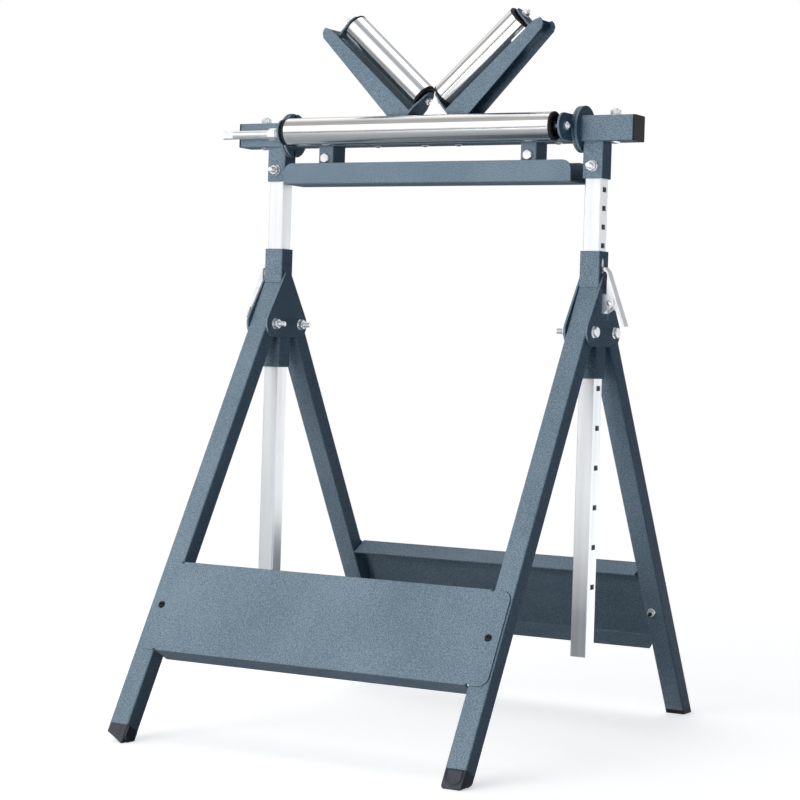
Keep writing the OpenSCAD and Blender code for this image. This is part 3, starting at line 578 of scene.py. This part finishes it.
def placer():
    """Geometry nodes that set a part on every point, turned by the point's own attribute"""
    tree = bpy.data.node_groups.get("place_fasteners")
    if tree:
        return tree
    tree = bpy.data.node_groups.new("place_fasteners", "GeometryNodeTree")
    tree.is_modifier = True
    for name, in_out, kind in (("Geometry", "INPUT", "Geometry"), ("Part", "INPUT", "Object"),
                               ("Finish", "INPUT", "Material"), ("Geometry", "OUTPUT", "Geometry")):
        tree.interface.new_socket(name, in_out=in_out, socket_type="NodeSocket" + kind)
    given, part, turn, angle, copies, real, coat, result = (tree.nodes.new(kind) for kind in (
        "NodeGroupInput", "GeometryNodeObjectInfo", "GeometryNodeInputNamedAttribute",
        "FunctionNodeEulerToRotation", "GeometryNodeInstanceOnPoints", "GeometryNodeRealizeInstances",
        "GeometryNodeSetMaterial", "NodeGroupOutput"))
    turn.data_type = "FLOAT_VECTOR"
    turn.inputs["Name"].default_value = "turn"
    for source, outlet, target, inlet in (
            (given, "Geometry", copies, "Points"), (given, "Part", part, "Object"),
            (part, "Geometry", copies, "Instance"), (turn, "Attribute", angle, "Euler"),
            (angle, "Rotation", copies, "Rotation"), (copies, "Instances", real, "Geometry"),
            (real, "Geometry", coat, "Geometry"), (given, "Finish", coat, "Material"),
            (coat, "Geometry", result, "Geometry")):
        tree.links.new(source.outputs[outlet], target.inputs[inlet])
    return tree


def repeat(part_bm, places, name, finish):
    """A plain mesh with a copy of the part at every place"""
    bmesh.ops.recalc_face_normals(part_bm, faces=part_bm.faces)
    part_mesh = bpy.data.meshes.new("part")
    part_bm.to_mesh(part_mesh)
    part_bm.free()
    part = bpy.data.objects.new("part", part_mesh)
    bpy.context.scene.collection.objects.link(part)
    points = bpy.data.meshes.new(name)
    points.from_pydata([p.translation[:] for p in places], [], [])
    turn = points.attributes.new("turn", "FLOAT_VECTOR", "POINT")
    for i, place in enumerate(places):
        turn.data[i].vector = place.to_euler()[:]
    holder = bpy.data.objects.new(name, points)
    bpy.context.scene.collection.objects.link(holder)
    modifier = holder.modifiers.new("place", "NODES")
    tree = placer()
    modifier.node_group = tree
    sockets = {s.name: s.identifier for s in tree.interface.items_tree if s.in_out == "INPUT"}
    modifier[sockets["Part"]] = part
    modifier[sockets["Finish"]] = FINISH[finish]
    bpy.context.view_layer.update()
    seen = holder.evaluated_get(bpy.context.evaluated_depsgraph_get())
    mesh = bpy.data.meshes.new_from_object(seen)
    holder.modifiers.remove(modifier)
    bpy.data.objects.remove(holder)
    bpy.data.objects.remove(part)
    return mesh


def fastener_set(name, body, groups, finish, replaced):
    """One piece made of several repeated parts; groups holds (maker, places)"""
    whole = bmesh.new()
    for maker, places in groups:
        part = bmesh.new()
        maker(part)
        mesh = repeat(part, places, name, finish)
        whole.from_mesh(mesh)
        bpy.data.meshes.remove(mesh)
    piece = to_piece(whole, name, finish, body)
    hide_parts(*replaced)


class Screw:
    """A bolt's sizes; across and nut are shares of its diameter, pitch of the large bolts' pitch"""

    def __init__(self, d, across, nut, pitch):
        self.d = d
        self.across = d * across
        self.head = d * 0.66
        self.nut = d * nut
        self.washer_d = 2 * d
        self.washer_t = 1.6 * MM
        self.pitch = sizes().thread_pitch * pitch

    def nut_part(self, bm):
        hex_body(bm, self.across, self.nut, self.d, True, True)

    def head_part(self, bm):
        hex_body(bm, self.across, self.head, 0, False, True)

    def washer_part(self, bm):
        washer_ring(bm, self.washer_d, self.d * 1.03, self.washer_t)


def rods(node, axis, keep=None, least=14 * MM):
    """(frame, length) of a node's long solids; a frame starts at the solid's end, along the axis"""
    turned = along(axis)
    found = []
    for low, high in solids(node, turned):
        start = turned @ Vector((low.x, middle(low, high).y, middle(low, high).z))
        if high.x - low.x > least and (keep is None or keep(start)):
            found.append((along(axis, start), high.x - low.x))
    return found


def on_rods(found, place, back=False):
    """Frames at one distance along every rod, measured from its end when that is negative"""
    return [start @ Matrix.Translation((place if place >= 0 else length + place, 0, 0)) @ turned_back(back)
            for start, length in found]


# How far the thread goes on behind the nut, on bolts and on studs
BOLT_SPARE = 2 * MM
STUD_SPARE = 1 * MM


def bolt_groups(screw, found, past, head=None, head_h=None, washers=("nut",)):
    """Head, shank, thread, nut and washers of like bolts; past is the thread beyond the nut"""
    head = head or screw.head_part
    head_h = head_h or screw.head
    nut_in = past + screw.nut
    bare = found[0][1] - head_h - nut_in - BOLT_SPARE
    groups = [
        (head, on_rods(found, head_h, back=True)),
        (lambda bm: shaft(bm, screw.d, bare), on_rods(found, head_h)),
        (lambda bm: thread(bm, screw.d, nut_in + BOLT_SPARE, screw.pitch),
         on_rods(found, -nut_in - BOLT_SPARE)),
        (screw.nut_part, on_rods(found, -nut_in))]
    under = {"head": head_h, "nut": -nut_in - screw.washer_t}
    if washers:
        groups.append((screw.washer_part, [at for w in washers for at in on_rods(found, under[w])]))
    return groups


def stud_groups(screw, found, past_first, past_last, washer=False):
    """A rod with a nut at either end; the washer lies under the last nut"""
    first, last = past_first + screw.nut, past_last + screw.nut
    bare = found[0][1] - (first + last) - 2 * STUD_SPARE
    groups = [
        (lambda bm: thread(bm, screw.d, first + STUD_SPARE, screw.pitch),
         on_rods(found, first + STUD_SPARE, back=True)),
        (lambda bm: thread(bm, screw.d, last + STUD_SPARE, screw.pitch),
         on_rods(found, -last - STUD_SPARE)),
        (lambda bm: shaft(bm, screw.d, bare), on_rods(found, first + STUD_SPARE)),
        (screw.nut_part, on_rods(found, past_first) + on_rods(found, -last))]
    if washer:
        groups.append((screw.washer_part, on_rods(found, -last - screw.washer_t)))
    return groups


# Operators

class STAND_OT_finishes(bpy.types.Operator):
    """Make the finishes and put them on the carried-over nodes"""
    bl_idname = "stand.finishes"
    bl_label = "Finishes"

    def execute(self, context):
        FINISH["paint"] = hammered_paint("hammered_paint")
        FINISH["zinc"] = bright_zinc("bright_zinc")
        FINISH["drawn_zinc"] = bright_zinc("drawn_zinc", stretch=(1.0, 1.0, 0.03))
        FINISH["steel"] = turned_steel("turned_steel")
        FINISH["black_plastic"] = moulded_plastic("moulded_plastic")
        FINISH["black_steel"] = black_steel("black_steel")
        FINISH["rubber"] = foot_rubber("foot_rubber")
        FINISH["spring_steel"] = spring_wire("spring_wire")
        slots = {p["node"]: p["material_slot"] for p in frame["record"]["subparts"]}
        for side in ("left_", "right_"):
            slots[side + "post"] = "drawn_zinc"
            slots[side + "rear_foot"] = "black_plastic"
        for name, slot in slots.items():
            dress_node(name, slot)
        return {"FINISHED"}


class STAND_OT_fasteners(bpy.types.Operator):
    """Make the bolts, nuts, washers, axles and rivets"""
    bl_idname = "stand.fasteners"
    bl_label = "Fasteners"

    def execute(self, context):
        large = Screw(8 * MM, across=1.625, nut=0.81, pitch=1.0)
        small = Screw(6 * MM, across=1.667, nut=0.83, pitch=0.8)
        make_frame_bolts(large)
        for end, sign in (("front", 1), ("rear", -1)):
            make_panel_bolts(small, end, sign)
        make_axles(small)
        make_rivets(small)
        return {"FINISHED"}


def make_frame_bolts(screw):
    """The large bolts: leg pivots, post heads, lock bolts of the bearing blocks and lugs of the rest"""
    pivots = (rods("pivot_bolts", (-1, 0, 0), lambda p: p.x > 0)
              + rods("pivot_bolts", (1, 0, 0), lambda p: p.x < 0))
    fastener_set("pivot_bolt_set", "base",
                 bolt_groups(screw, pivots, past=10.5 * MM, washers=("head", "nut")),
                 "zinc", ("pivot_bolts", "pivot_nuts", "pivot_washers"))
    fastener_set("post_head_bolt_set", "top_frame",
                 bolt_groups(screw, rods("post_head_bolts", (0, -1, 0)), past=9 * MM),
                 "zinc", ("post_head_bolts",))
    lock_d, lock_h = 14.4 * MM, 3 * MM
    fastener_set("lock_bolt_set", "top_frame",
                 bolt_groups(screw, rods("lock_bolts", (0, 0, 1)), past=2.5 * MM,
                             head=lambda bm: round_head(bm, lock_d, lock_h), head_h=lock_h),
                 "zinc", ("lock_bolts",))
    fastener_set("lug_bolt_set", "turning_head",
                 bolt_groups(screw, rods("lug_bolts", (0, 1, 0)), past=2 * MM, washers=()),
                 "zinc", ("lug_bolts",))


def make_panel_bolts(screw, end, sign):
    """Black button screws, and zinc nuts with washers, through a panel and its legs"""
    head_d, head_h, socket = 10.5 * MM, 3.3 * MM, 4.02 * MM
    lean = sizes().leg_lean
    found = rods(end + "_panel_bolts", (0, sign * math.cos(lean), -math.sin(lean)))
    groups = bolt_groups(screw, found, past=3 * MM,
                         head=lambda bm: socket_button(bm, head_d, head_h, socket), head_h=head_h)
    fastener_set(end + "_panel_bolt_set", end + "_legs", groups[:3], "black_steel",
                 (end + "_panel_bolts",))
    fastener_set(end + "_panel_nut_set", end + "_legs", groups[3:], "zinc",
                 (end + "_panel_nuts",))


def sloping(sign):
    """Up along the left (-1) or the right (1) V roller"""
    rise = sizes().v_angle
    return (sign * math.cos(rise), 0, math.sin(rise))


def make_axles(screw):
    """The threaded axles of the three rollers, with their nuts"""
    past = 2.6 * MM
    fastener_set("straight_axle_set", "turning_head",
                 stud_groups(screw, rods("straight_axle", (1, 0, 0)), past, past),
                 "zinc", ("straight_axle",))
    low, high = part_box("v_axles")
    mid_x = middle(low[0], high[0])
    slopes = []
    for sign in (-1, 1):
        slopes += rods("v_axles", sloping(sign), lambda p: (p.x - mid_x) * sign > 0)
    fastener_set("v_axle_set", "turning_head",
                 stud_groups(screw, slopes, past_first=1.4 * MM, past_last=3 * MM, washer=True),
                 "zinc", ("v_axles",))


def make_rivets(screw):
    """The round rivets that hold the V arms on the beam"""
    head_d, head_h, shank = 10.8 * MM, 2.6 * MM, 5 * MM
    rivets = rods("beam_rivets", (0, 0, 1), least=5 * MM)
    fastener_set("beam_rivet_set", "turning_head", [
        (lambda bm: round_head(bm, head_d, head_h), on_rods(rivets, head_h, back=True)),
        (lambda bm: shaft(bm, screw.d, shank), on_rods(rivets, head_h))],
        "zinc", ("beam_rivets",))


class STAND_OT_feet(bpy.types.Operator):
    """Make the thick rubber feet of the front legs"""
    bl_idname = "stand.feet"
    bl_label = "Front feet"

    def execute(self, context):
        for side in ("left", "right"):
            make_front_foot(side)
        return {"FINISHED"}


# Half the size of a shoe along X and across the leg, and the rounding of its upright edges
SHOE_X = 15 * MM
SHOE_Y = 14 * MM
SHOE_CORNER = 2.6 * MM

# The left shoe's outer side is cut short, and its sole is rounded by a share of the right one's
LEFT_CUT = 12.5 * MM
LEFT_ROUND = 0.25

# The edges of the sole lie deeper than this, and agree less with the leg's direction
SOLE_DEPTH = 9 * MM
SOLE_LEAN = 0.8


def make_front_foot(side):
    """A rubber shoe on the square cut of a leg; the left one sits a quarter turn round"""
    given = sizes()
    low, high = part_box(side + "_front_foot")
    pivot = Vector(joint_named("front_legs_fold")["pos_m"])
    down = Vector((0, -math.sin(given.leg_lean), -math.cos(given.leg_lean)))
    depth = Vector((0, math.cos(given.leg_lean), -math.sin(given.leg_lean)))
    cut = Vector((middle(low[0], high[0]), pivot.y, pivot.z)) + down * given.leg_length
    bm = bmesh.new()
    tops, soles = [], []
    for x, y in ((-SHOE_X, -SHOE_Y), (SHOE_X, -SHOE_Y), (SHOE_X, SHOE_Y), (-SHOE_X, SHOE_Y)):
        top = cut + depth * y + Vector((x, 0, 0))
        length = top.z / math.cos(given.leg_lean)
        if side == "left" and x < 0:
            length = min(length, LEFT_CUT)
        tops.append(bm.verts.new(top))
        soles.append(bm.verts.new(top + down * length))
    loft(bm, [tops, soles])
    corners = [e for e in bm.edges if (e.verts[0] in tops) != (e.verts[1] in tops)]
    bmesh.ops.bevel(bm, geom=corners, offset=SHOE_CORNER, segments=4, profile=0.5, affect="EDGES")
    lowest = [e for e in bm.edges if all((v.co - cut).dot(down) > SOLE_DEPTH for v in e.verts)
              and abs((e.verts[0].co - e.verts[1].co).normalized().dot(down)) < SOLE_LEAN]
    sole_round = given.sole_round * (LEFT_ROUND if side == "left" else 1.0)
    bmesh.ops.bevel(bm, geom=lowest, offset=sole_round, segments=5, profile=0.5, affect="EDGES")
    foot_tongue(bm, side, cut, down, depth)
    for vertex in bm.verts:
        vertex.co.z = max(vertex.co.z, 0.0)
    piece = to_piece(bm, side + "_rubber_foot", "rubber", "front_legs", sharp=40.0)
    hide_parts(side + "_front_foot")


# The tongue on a shoe: half its width, how far below the leg's cut its straight sides start and end,
# the depth of its round end, and the place below the cut that its rib shrinks towards
TONGUE_HALF = 12.2 * MM
TONGUE_TOP = 1.0 * MM
TONGUE_STRAIGHT = 13 * MM
TONGUE_ROUND = 10 * MM
TONGUE_MIDDLE = 6 * MM

# Across the rib: its height above the shoe's side, and the share of the outline's size
RIB = ((-0.5 * MM, 1.0), (0.3 * MM, 0.99), (1.5 * MM, 0.91), (0.1 * MM, 0.79))


def foot_tongue(bm, side, cut, down, depth):
    """The raised rib, like a tongue's outline, on the long side of a shoe"""
    sideways = Vector((1, 0, 0))
    across, out, face = (depth, sideways, SHOE_X) if side == "left" else (sideways, -depth, SHOE_Y)
    steps = 12
    outline = [(-TONGUE_HALF, TONGUE_TOP), (-TONGUE_HALF, TONGUE_STRAIGHT)]
    outline += [(-TONGUE_HALF * math.cos(a), TONGUE_STRAIGHT + TONGUE_ROUND * math.sin(a))
                for a in (math.pi * k / steps for k in range(1, steps))]
    outline += [(TONGUE_HALF, TONGUE_STRAIGHT), (TONGUE_HALF, TONGUE_TOP)]
    rings = []
    for lift, share in RIB:
        rings.append([bm.verts.new(cut + across * (s * share)
                                   + down * (TONGUE_MIDDLE + (t - TONGUE_MIDDLE) * share)
                                   + out * (face + lift)) for s, t in outline])
    loft(bm, rings)


# The rollers, which way each slopes up, and its diameter
ROLLERS = (("straight_roller", 0, 40 * MM), ("left_v_roller", -1, 38 * MM),
           ("right_v_roller", 1, 38 * MM))


class STAND_OT_caps(bpy.types.Operator):
    """Make the rollers' spoked end caps"""
    bl_idname = "stand.caps"
    bl_label = "Roller caps"

    def execute(self, context):
        for roller, slope, d in ROLLERS:
            turned = along(sloping(slope) if slope else (1, 0, 0))
            bm = bmesh.new()
            ends = sorted(solids(roller + "_caps", turned), key=lambda b: b[0].x)
            for (low, high), back in zip(ends, (False, True)):
                at = Vector((high.x if back else low.x, middle(low, high).y, middle(low, high).z))
                roller_cap(bm, d, turned @ Matrix.Translation(at) @ turned_back(back))
            piece = to_piece(bm, roller + "_end_caps", "black_plastic", roller)
            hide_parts(roller + "_caps")
        return {"FINISHED"}


# A cap's outlines: millimetres in from its face, a radius of roller_cap, and millimetres beyond that
CAP_FLANGE = (
    (1.0, "inner", 0), (0.3, "inner", 0.7), (0.0, "inner", 1.6), (0.0, "outer", -2.6),
    (0.7, "outer", -2.2), (0.7, "outer", -1.7), (0.0, "outer", -1.3), (0.5, "outer", -0.5),
    (1.3, "outer", 0), (3.4, "outer", 0), (4.0, "outer", -0.6), (4.0, "tube", 0), (16.5, "tube", 0),
    (18.0, "tube", -1.0), (18.0, "inner", 0))
CAP_HUB = (
    (0.5, "bore", 0), (0.0, "bore", 0.5), (0.0, "hub", -0.8), (0.8, "hub", 0), (18.0, "hub", 0),
    (18.0, "bore", 0))

# The spokes: how many, the first one's angle, half their width, their length into the cap, how far in
# they start and how far they reach into hub and flange
SPOKES = 6
SPOKE_TURN = 15
SPOKE_HALF = 1.3 * MM
SPOKE_LENGTH = 11 * MM
SPOKE_IN = 3.5 * MM
SPOKE_ROOT = 1 * MM


def roller_cap(bm, d, where):
    """A ribbed flange over the tube's end, a hub on the axle and spokes between them"""
    radii = {"outer": d / 2 + 0.5 * MM, "tube": d / 2 - 2.2 * MM, "inner": d / 2 - 5.2 * MM,
             "hub": 6.5 * MM, "bore": 3.1 * MM}
    segments = sizes().segments
    for outline, count in ((CAP_FLANGE, segments), (CAP_HUB, segments // 2)):
        lathe(bm, [(x * MM, radii[name] + beyond * MM) for x, name, beyond in outline], where, count)
    low, high = radii["hub"] - SPOKE_ROOT, radii["inner"] + SPOKE_ROOT
    spoke = [(-SPOKE_HALF, low), (SPOKE_HALF, low), (SPOKE_HALF, high), (-SPOKE_HALF, high)]
    for k in range(SPOKES):
        spin = where @ Matrix.Rotation(math.radians(360 / SPOKES * k + SPOKE_TURN), 4, "X")
        extrude_outline(bm, spoke, SPOKE_LENGTH, spin @ Matrix.Translation((SPOKE_IN, 0, 0)))


class STAND_OT_spring(bpy.types.Operator):
    """Make the index pin's coil spring"""
    bl_idname = "stand.spring"
    bl_label = "Index spring"

    def execute(self, context):
        given = sizes()
        low, high = (Vector(corner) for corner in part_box("index_spring"))
        wire = given.spring_wire / 2
        around = (high.z - low.z) / 2 - wire
        steps_a_turn = 24
        steps = given.spring_turns * steps_a_turn
        length = high.x - low.x - 2 * wire
        points = []
        for i in range(steps + 1):
            a = 2 * math.pi * i / steps_a_turn
            points.append(Vector((low.x + wire + length * i / steps,
                                  middle(low.y, high.y) + around * math.cos(a),
                                  middle(low.z, high.z) + around * math.sin(a))))
        bm = bmesh.new()
        tube_along(bm, points, [wire] * len(points), sides=10)
        piece = to_piece(bm, "index_coil", "spring_steel", "top_frame", sharp=60.0)
        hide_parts("index_spring")
        travel = joint_named("index_pin_pull")["range_m"][1]
        1 - travel / (high.x - low.x)
        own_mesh(piece)
        return {"FINISHED"}


class STAND_OT_welds(bpy.types.Operator):
    """Lay the weld beads between the painted parts"""
    bl_idname = "stand.welds"
    bl_label = "Weld beads"

    def execute(self, context):
        lay_beads("end_tube_welds", frame_beads(), "top_frame")
        lay_beads("beam_welds", head_beads(), "turning_head")
        lay_beads("gusset_welds", sleeve_beads(), "base")
        return {"FINISHED"}


# How far a bead stops short of a corner: on tubes, on post heads, and on lugs and sleeves
TUBE_GAP = 2.5 * MM
HEAD_GAP = 2 * MM
PLATE_GAP = 3 * MM


def bead(start, end):
    return [Vector(start), Vector(end)]


def square_loop(x, low, high):
    """The four sides of a square tube's outline at a place along X"""
    return ([bead((x, low[1] + TUBE_GAP, z), (x, high[1] - TUBE_GAP, z)) for z in (low[2], high[2])]
            + [bead((x, y, low[2] + TUBE_GAP), (x, y, high[2] - TUBE_GAP)) for y in (low[1], high[1])])


def frame_beads():
    """Round the end tubes at their discs, and along the post heads under them"""
    beads = []
    for side in ("left", "right"):
        low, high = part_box(side + "_end_tube")
        beads += square_loop(low[0] if side == "right" else high[0], low, high)
        post_low, post_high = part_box(side + "_post_head")
        for y in (post_low[1], post_high[1]):
            beads.append(bead((post_low[0] + HEAD_GAP, y, low[2]), (post_high[0] - HEAD_GAP, y, low[2])))
    return beads


def head_beads():
    """Round the beam's ends, and along the upper and lower edges of the rest's lugs"""
    beam_low, beam_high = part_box("centre_beam")
    beads = []
    for x in (beam_low[0], beam_high[0]):
        beads += square_loop(x, beam_low, beam_high)
    for low, high in solids("rest_lugs"):
        for y in (low.y, high.y):
            beads.append(bead((low.x + PLATE_GAP, y, high.z), (high.x - PLATE_GAP, y, high.z)))
        for x in (low.x, high.x):
            beads.append(bead((x, low.y + PLATE_GAP, low.z), (x, high.y - PLATE_GAP, low.z)))
    return beads


def sleeve_beads():
    """Short beads under the sleeves' gusset plates, on their sleeve side"""
    inwards = 0.7
    beads = []
    for side in ("left", "right"):
        low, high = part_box(side + "_sleeve")
        for plate_low, plate_high in solids(side + "_gussets"):
            x = plate_low.x if plate_low.x > middle(low[0], high[0]) else plate_high.x
            for y in (low[1] + PLATE_GAP, high[1] - PLATE_GAP):
                beads.append(bead((x, y, plate_low.z), (x, y * inwards, plate_low.z)))
    return beads


def lay_beads(name, beads, body):
    """Rippled beads along straight lines, as one painted piece"""
    given = sizes()
    parts, valley, tip = 4, 0.86, 0.55
    bm = bmesh.new()
    for start, end in beads:
        count = max(parts, int((end - start).length / given.weld_step)) * parts
        points = [start.lerp(end, i / count) for i in range(count + 1)]
        radii = [given.weld_r * (valley + (1 - valley) * abs(math.sin(math.pi * i / parts)))
                 for i in range(count + 1)]
        radii[0] *= tip
        radii[-1] *= tip
        tube_along(bm, points, radii, sides=8)
    to_piece(bm, name, "paint", body, sharp=60.0)


class STAND_OT_stage(bpy.types.Operator):
    """Make the floor, the studio light and the camera"""
    bl_idname = "stand.stage"
    bl_label = "Stage"

    def execute(self, context):
        scene = context.scene
        scene.view_settings.view_transform = "Standard"
        floor = make_floor()
        make_world(scene)
        make_lights()
        make_camera(scene)
        return {"FINISHED"}


def make_floor():
    """A pale floor: white to the camera but for the stand's shadow; to other rays its colour is painted light, dim
    and cool near the stand and darker on the right side, where it glows in reflections
    """
    half = 9.0
    mesh = bpy.data.meshes.new("floor")
    mesh.from_pydata([(-half, -half, 0), (half, -half, 0), (half, half, 0), (-half, half, 0)],
                     [], [(0, 1, 2, 3)])
    f = new_finish("pale_floor")
    out = f.node("ShaderNodeVectorMath", {"operation": "LENGTH"}, {0: f.place()}, outlet=1) / half
    warm = (1.0, 0.985, 0.965)
    shown = f.ramp(out, [(0.07, 0.74), (0.2, 0.0)])
    bright = f.glowing(f.colour(*(shown * part for part in warm)),
                       f.ramp(out, [(0.07, 0.58), (0.2, 1.0)]), strength=1.0)
    right = f.node("ShaderNodeSeparateXYZ", inputs={0: f.place()}) / half
    # Painted shade: to other rays the floor's right side is darker
    shade = f.ramp(right + 0.5, [(0.515, 1.0), (0.55, 0.0)])
    # Painted reflection: to glossy rays the floor's right side glows, lighting the metal's right faces in
    # reflections
    glow = f.ray("Is Glossy Ray") * (1.0 - shade)
    lit = shade + glow

    # Painted shade and light: to other rays the floor is darker near the stand and cool, tinting the light it
    # throws back
    def dimmed(least, stops):
        return (least + (1 - least) * lit) * f.ramp(out, stops)

    red = dimmed(0.02, [(0.03, 0.14), (0.08, 0.55), (0.16, 0.62), (0.6, 0.65)])
    blue = dimmed(0.46, [(0.03, 0.20), (0.08, 0.58), (0.16, 0.66), (0.6, 0.69)])
    dim = f.glowing(f.colour(red, (red + blue) / 2, blue),
                    f.ramp(glow, [(0.0, 0.0), (1.0, 1.0)]), strength=1.3)
    mixed = f.node("ShaderNodeMixShader", inputs={0: f.ray("Is Camera Ray"), 1: dim, 2: bright})
    f.node("ShaderNodeOutputMaterial", inputs={"Surface": mixed})
    mesh.materials.append(f.owner)
    floor = bpy.data.objects.new("floor", mesh)
    bpy.context.scene.collection.objects.link(floor)
    return floor


# The studio round the stand, by the angle from ahead of the stand over the top to the back
STUDIO = [(0.0, 0.3), (0.5, 0.62), (0.515, 0.66), (0.53, 1.0), (0.605, 1.0), (0.635, 0.26),
          (0.73, 0.26), (0.8, 0.65), (0.86, 0.65), (0.93, 0.2), (1.0, 0.2)]
STUDIO_LEVEL = 2.05


def make_world(scene):
    """White to the camera; to other rays a soft band in front, a dim cool right side, a pale high right"""
    world = bpy.data.worlds.new("studio")
    scene.world = world
    f = Finish(world)
    direction = f.node("ShaderNodeTexCoord", outlet="Generated")
    x, y, z = (f.node("ShaderNodeSeparateXYZ", inputs={0: direction}, outlet=k) for k in range(3))
    angle = f.node("ShaderNodeMath", {"operation": "ARCTAN2"}, {0: z, 1: y * -1.0})
    band = f.ramp(angle / (2 * math.pi) + 0.5, STUDIO) * STUDIO_LEVEL
    side = x * 0.5 + 0.5
    height = f.ramp(z, [(0.02, 1.0), (0.3, 0.5), (0.6, 0.6)])
    sheen = f.ray("Is Glossy Ray") * height * f.ramp(side, [(0.45, 0.0), (0.6, 1.0)])
    red = band * f.ramp(side, [(0.0, 0.8), (0.38, 1.0), (0.57, 0.01), (0.75, 0.0)]) + sheen
    blue = band * f.ramp(side, [(0.0, 0.8), (0.38, 1.0), (0.57, 0.15), (0.75, 0.07)]) + sheen
    studio = f.node("ShaderNodeBackground", inputs={
        "Color": f.colour(red, (red + blue) / 2, blue), "Strength": 1.0})
    white = f.node("ShaderNodeBackground", inputs={"Color": (1, 1, 1, 1), "Strength": 1.0})
    mixed = f.node("ShaderNodeMixShader", inputs={0: f.ray("Is Camera Ray"), 1: studio, 2: white})
    f.node("ShaderNodeOutputWorld", inputs={"Surface": mixed})


def add_area(name, place, target, width, height, watts, shows=True):
    """A rectangular lamp; one that doesn't show lights the faces but isn't mirrored in them"""
    light = bpy.data.lights.new(name, "AREA")
    light.shape = "RECTANGLE"
    light.size = width
    light.size_y = height
    light.energy = watts
    lamp = bpy.data.objects.new(name, light)
    lamp.visible_glossy = shows
    ahead = (Vector(target) - Vector(place)).normalized()
    matrix = ahead.to_track_quat("-Z", "Y").to_matrix().to_4x4()
    matrix.translation = Vector(place)
    lamp.matrix_world = matrix
    bpy.context.scene.collection.objects.link(lamp)


def make_lights():
    add_area("key_softbox", place=(-0.8, -3.6, 1.1), target=(0.0, 0.0, 0.6), width=2.2, height=1.2,
             watts=32, shows=False)
    add_area("low_fill", place=(-0.3, -3.2, 0.3), target=(0.0, 0.3, 0.5), width=2.2, height=0.5,
             watts=53, shows=False)
    add_area("top_softbox", place=(0.0, 0.3, 3.0), target=(0.0, 0.0, 0.5), width=1.6, height=1.6,
             watts=10)


def make_camera(scene):
    given = scene.stand_camera
    camera = bpy.data.cameras.new("camera")
    camera.sensor_width = FILM
    camera.lens = FILM * given.focal / PICTURE
    camera.shift_x = 0.5 - given.centre_u / PICTURE
    camera.shift_y = given.centre_v / PICTURE - 0.5
    ahead = Vector((-math.sin(given.yaw) * math.cos(given.pitch),
                    math.cos(given.yaw) * math.cos(given.pitch), -math.sin(given.pitch)))
    right = Vector((math.cos(given.yaw), math.sin(given.yaw), 0))
    up = right.cross(ahead)
    c, s = math.cos(given.roll), math.sin(given.roll)
    matrix = Matrix((right * c + up * s, up * c - right * s, -ahead)).transposed().to_4x4()
    matrix.translation = Vector(given.place)
    holder = bpy.data.objects.new("camera", camera)
    holder.matrix_world = matrix
    scene.collection.objects.link(holder)
    scene.camera = holder


# The operators, in the order that they run
STEPS = ("finishes", "fasteners", "feet", "caps", "spring", "welds", "stage")


class STAND_PT_pieces(bpy.types.Panel):
    """The stand's pieces, in the order that they are made"""
    bl_idname = "STAND_PT_pieces"
    bl_label = "Roller stand"
    bl_space_type = "VIEW_3D"
    bl_region_type = "UI"
    bl_category = "Roller stand"

    def draw(self, context):
        for name in STEPS:
            self.layout.operator("stand." + name)


CLASSES = (StandColours, StandSizes, StandCamera, STAND_OT_finishes, STAND_OT_fasteners,
           STAND_OT_feet, STAND_OT_caps, STAND_OT_spring, STAND_OT_welds, STAND_OT_stage,
           STAND_PT_pieces)


def register():
    for made in CLASSES:
        bpy.utils.register_class(made)
    bpy.types.Scene.stand_colours = PointerProperty(type=StandColours)
    bpy.types.Scene.stand_sizes = PointerProperty(type=StandSizes)
    bpy.types.Scene.stand_camera = PointerProperty(type=StandCamera)


def unregister():
    for name in ("stand_colours", "stand_sizes", "stand_camera"):
        delattr(bpy.types.Scene, name)
    for made in reversed(CLASSES):
        bpy.utils.unregister_class(made)


def main():
    register()
    for name in STEPS:
        getattr(bpy.ops.stand, name)()


if __name__ == "__main__":
    main()
